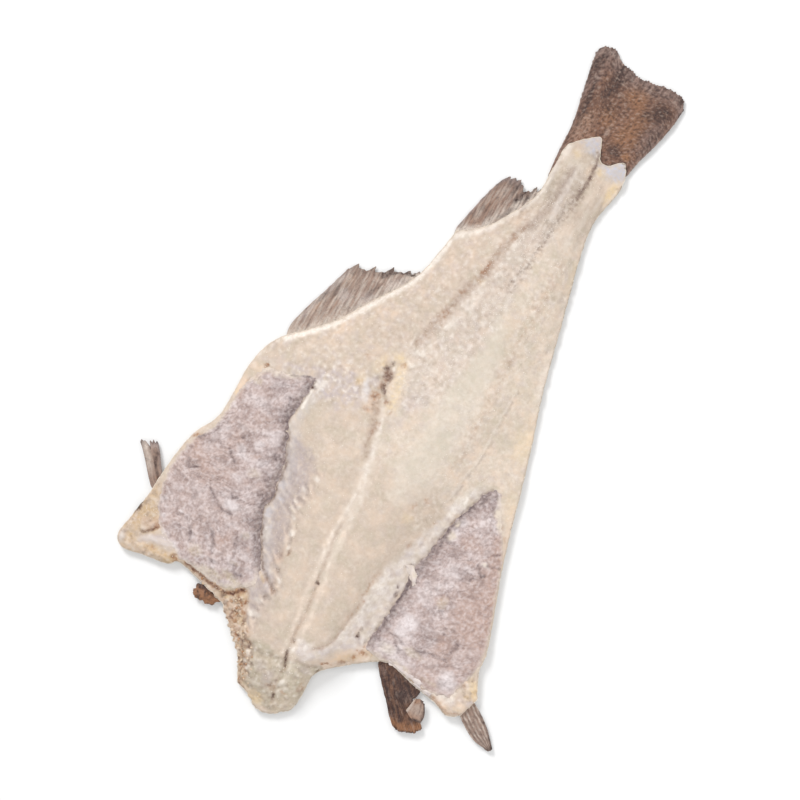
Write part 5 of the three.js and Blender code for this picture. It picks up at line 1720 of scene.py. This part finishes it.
def scatter(seed_piece, places, turns, scales):
    """Copies a small shape to every place as one mesh, and removes the first one.

    turns are angles in radians about the upright axis and about the shape's own long one.
    """
    shape = get_points(seed_piece)
    faces = np.array([list(face.vertices) for face in seed_piece.data.polygons])
    bpy.data.objects.remove(seed_piece)
    cos, sin = np.cos(turns), np.sin(turns)
    spin, tip = np.zeros((2, len(places), 3, 3))
    for matrix, k, axes in ((spin, 0, (0, 1, 2)), (tip, 1, (1, 2, 0))):
        a, b, fixed = axes
        matrix[:, a, a] = matrix[:, b, b] = cos[:, k]
        matrix[:, b, a], matrix[:, a, b] = sin[:, k], -sin[:, k]
        matrix[:, fixed, fixed] = 1
    points = np.einsum("nij,njk,nkv->nvi", spin, tip, (shape[None] * scales[:, None]).swapaxes(1, 2))
    points = points + places[:, None]
    corners = faces[None] + len(shape) * np.arange(len(places))[:, None, None]
    mesh = bpy.data.meshes.new("scattered")
    mesh.from_pydata((points.reshape(-1, 3) * MM).tolist(), [],
                     corners.reshape(-1, faces.shape[1]).tolist())
    piece = bpy.data.objects.new("scattered", mesh)
    bpy.context.scene.collection.objects.link(piece)
    return piece


class COD_OT_crumbs(bpy.types.Operator):
    """Makes the crumbs of torn flesh along the cut of the neck and the front of the left flap"""

    bl_idname = "cod.crumbs"
    bl_label = "Crumbs"

    def execute(self, context):
        draw = np.random.default_rng(5)
        count = sizes().crumbs
        at = line_at(CRUMB_LINE, draw.random(count) ** 0.7) + draw.normal(0, 1, (count, 2)) * (4.0, 3.0)
        at = at[inside(body_outline(), at)]
        height = top_finder(bpy.data.objects["flesh"])(at, 5)
        deselect()
        bpy.ops.mesh.primitive_ico_sphere_add(subdivisions=2, radius=MM)
        seed = bpy.context.object
        ball = get_points(seed)
        ball *= (1 + 0.35 * lumps(ball[:, :2] + ball[:, 2:], 0.9, 2, 84))[:, None]
        set_points(seed, ball)
        scales = (draw.uniform(0.4, 1.4, (len(at), 1)) * draw.uniform(0.5, 1.0, (len(at), 3))
                  * (1.5, 1.0, 0.45))
        turns = draw.uniform(0, 6.3, (len(at), 2)) * (1, 0.08)
        piece = scatter(seed, np.column_stack([at, height + 0.2]), turns, scales)
        shade = np.repeat(draw.random(len(at)), len(ball))
        set_mask(piece, "rust", 0.9 * ease(shade, 0.2, 0.8))
        set_mask(piece, "pale", 0.3 * ease(-shade, -0.25, -0.05))
        set_mask(piece, "ochre", 0.6)
        settle(piece, "crumbs", bpy.data.materials["salted dried cod flesh"])
        return {"FINISHED"}


class COD_OT_salt(bpy.types.Operator):
    """Scatters coarse salt crystals over the flesh side"""

    bl_idname = "cod.salt"
    bl_label = "Salt"

    def execute(self, context):
        draw = np.random.default_rng(6)
        loop = body_outline()
        at = draw.uniform(loop.min(0), loop.max(0), (sizes().crystals * 16, 2))
        thick = 0.10 + 0.9 * np.clip(patch(at, TAIL_BAND, 16)
                                     + strokes(at, (0.5, RIB_LINE, 14), (0.4, SEAM, 12)), 0, 1)
        thick = thick * ease(lumps(at, 24, 2, 19), -0.6, 0.5)
        covered = [inside(border.loop(), at) for border in (LINING_LEFT, LINING_RIGHT)]
        at = at[inside(loop, at) & ~np.any(covered, axis=0) & (draw.random(len(at)) < thick)]
        at = at[:sizes().crystals]
        height = top_finder(bpy.data.objects["flesh"])(at, 3)
        deselect()
        bpy.ops.mesh.primitive_cube_add(size=MM)
        seed = bpy.context.object
        side = sizes().crystal / MM * draw.uniform(0.35, 1.0, (len(at), 1)) ** 1.4
        scales = side * draw.uniform(0.6, 1.0, (len(at), 3))
        piece = scatter(seed, np.column_stack([at, height + 0.05 * side[:, 0]]),
                        draw.uniform(0, 6.3, (len(at), 2)), scales)
        settle(piece, "salt_crystals", salt_material())
        return {"FINISHED"}


# ---------------------------------------------------------------- stage

CAMERA_OVER = (-19.4, -30.3)
CAMERA_TURN = 30
CAMERA_HEIGHT = 2.0
CAMERA_LENS = 108.6
KEY_FROM = (-2.30, 1.27, 2.06)
SIDE_FROM = (1.8, -0.3, 1.3)
KEY_SIZE = 1.05
SIDE_SIZE = 1.5
FLOOR_SIZE = 6


class COD_OT_stage(bpy.types.Operator):
    """Sets the fish on a plain pale floor in soft light, seen from straight above"""

    bl_idname = "cod.stage"
    bl_label = "Stage"

    def execute(self, context):
        stage = context.scene.cod_stage
        deselect()
        bpy.ops.mesh.primitive_plane_add(size=FLOOR_SIZE)
        floor = context.object
        floor.name = "floor"
        floor.data.materials.append(floor_material())
        middle = Vector((CAMERA_OVER[0] * MM, CAMERA_OVER[1] * MM, 0))
        self.light("soft key light", middle, KEY_FROM, KEY_SIZE, stage.key)
        self.light("soft side light", middle, SIDE_FROM, SIDE_SIZE, stage.side).use_shadow = False
        bpy.ops.object.camera_add(location=middle + Vector((0, 0, CAMERA_HEIGHT)),
                                  rotation=(0, 0, math.radians(CAMERA_TURN)))
        camera = context.object
        camera.data.lens = CAMERA_LENS
        camera.data.sensor_width = 36
        context.scene.camera = camera
        world = bpy.data.worlds.new("white room")
        world.use_nodes = True
        light = world.node_tree.nodes["Background"].inputs
        light["Color"].default_value = (1, 1, 1, 1)
        light["Strength"].default_value = stage.fill
        context.scene.world = world
        context.scene.view_settings.view_transform = "Standard"
        deselect()
        return {"FINISHED"}

    def light(self, name, middle, offset, size, power):
        bpy.ops.object.light_add(type="AREA", location=middle + Vector(offset))
        lamp = bpy.context.object
        lamp.name, lamp.data.size, lamp.data.energy = name, size, power
        lamp.rotation_euler = (-Vector(offset)).to_track_quat("-Z", "Y").to_euler()
        return lamp.data


# ---------------------------------------------------------------- add-on

GROUPS = {"cod_sizes": CodSizes, "cod_colours": CodColours, "cod_stage": CodStage}
OPERATORS = [COD_OT_flesh, COD_OT_skin, COD_OT_linings, COD_OT_ray_fins, COD_OT_paired_fins,
             COD_OT_dorsal_fins, COD_OT_pectoral_stump, COD_OT_torn_sheets, COD_OT_crumbs,
             COD_OT_salt, COD_OT_stage]


class COD_PT_panel(bpy.types.Panel):
    """Lists the fish's sizes, colours and pieces"""

    bl_idname = "COD_PT_panel"
    bl_label = "Split dried cod"
    bl_space_type = "VIEW_3D"
    bl_region_type = "UI"
    bl_category = "Cod"

    def draw(self, context):
        for name, group in GROUPS.items():
            box = self.layout.box()
            for key in group.__annotations__:
                box.prop(getattr(context.scene, name), key)
        for operator in OPERATORS:
            self.layout.operator(operator.bl_idname)


def register():
    for item in [*GROUPS.values(), *OPERATORS, COD_PT_panel]:
        bpy.utils.register_class(item)
    for name, group in GROUPS.items():
        setattr(bpy.types.Scene, name, PointerProperty(type=group))


def unregister():
    for name in GROUPS:
        delattr(bpy.types.Scene, name)
    for item in reversed([*GROUPS.values(), *OPERATORS, COD_PT_panel]):
        bpy.utils.unregister_class(item)


def main():
    register()
    for operator in OPERATORS:
        getattr(bpy.ops.cod, operator.bl_idname.split(".")[1])()


if __name__ == "__main__":
    main()
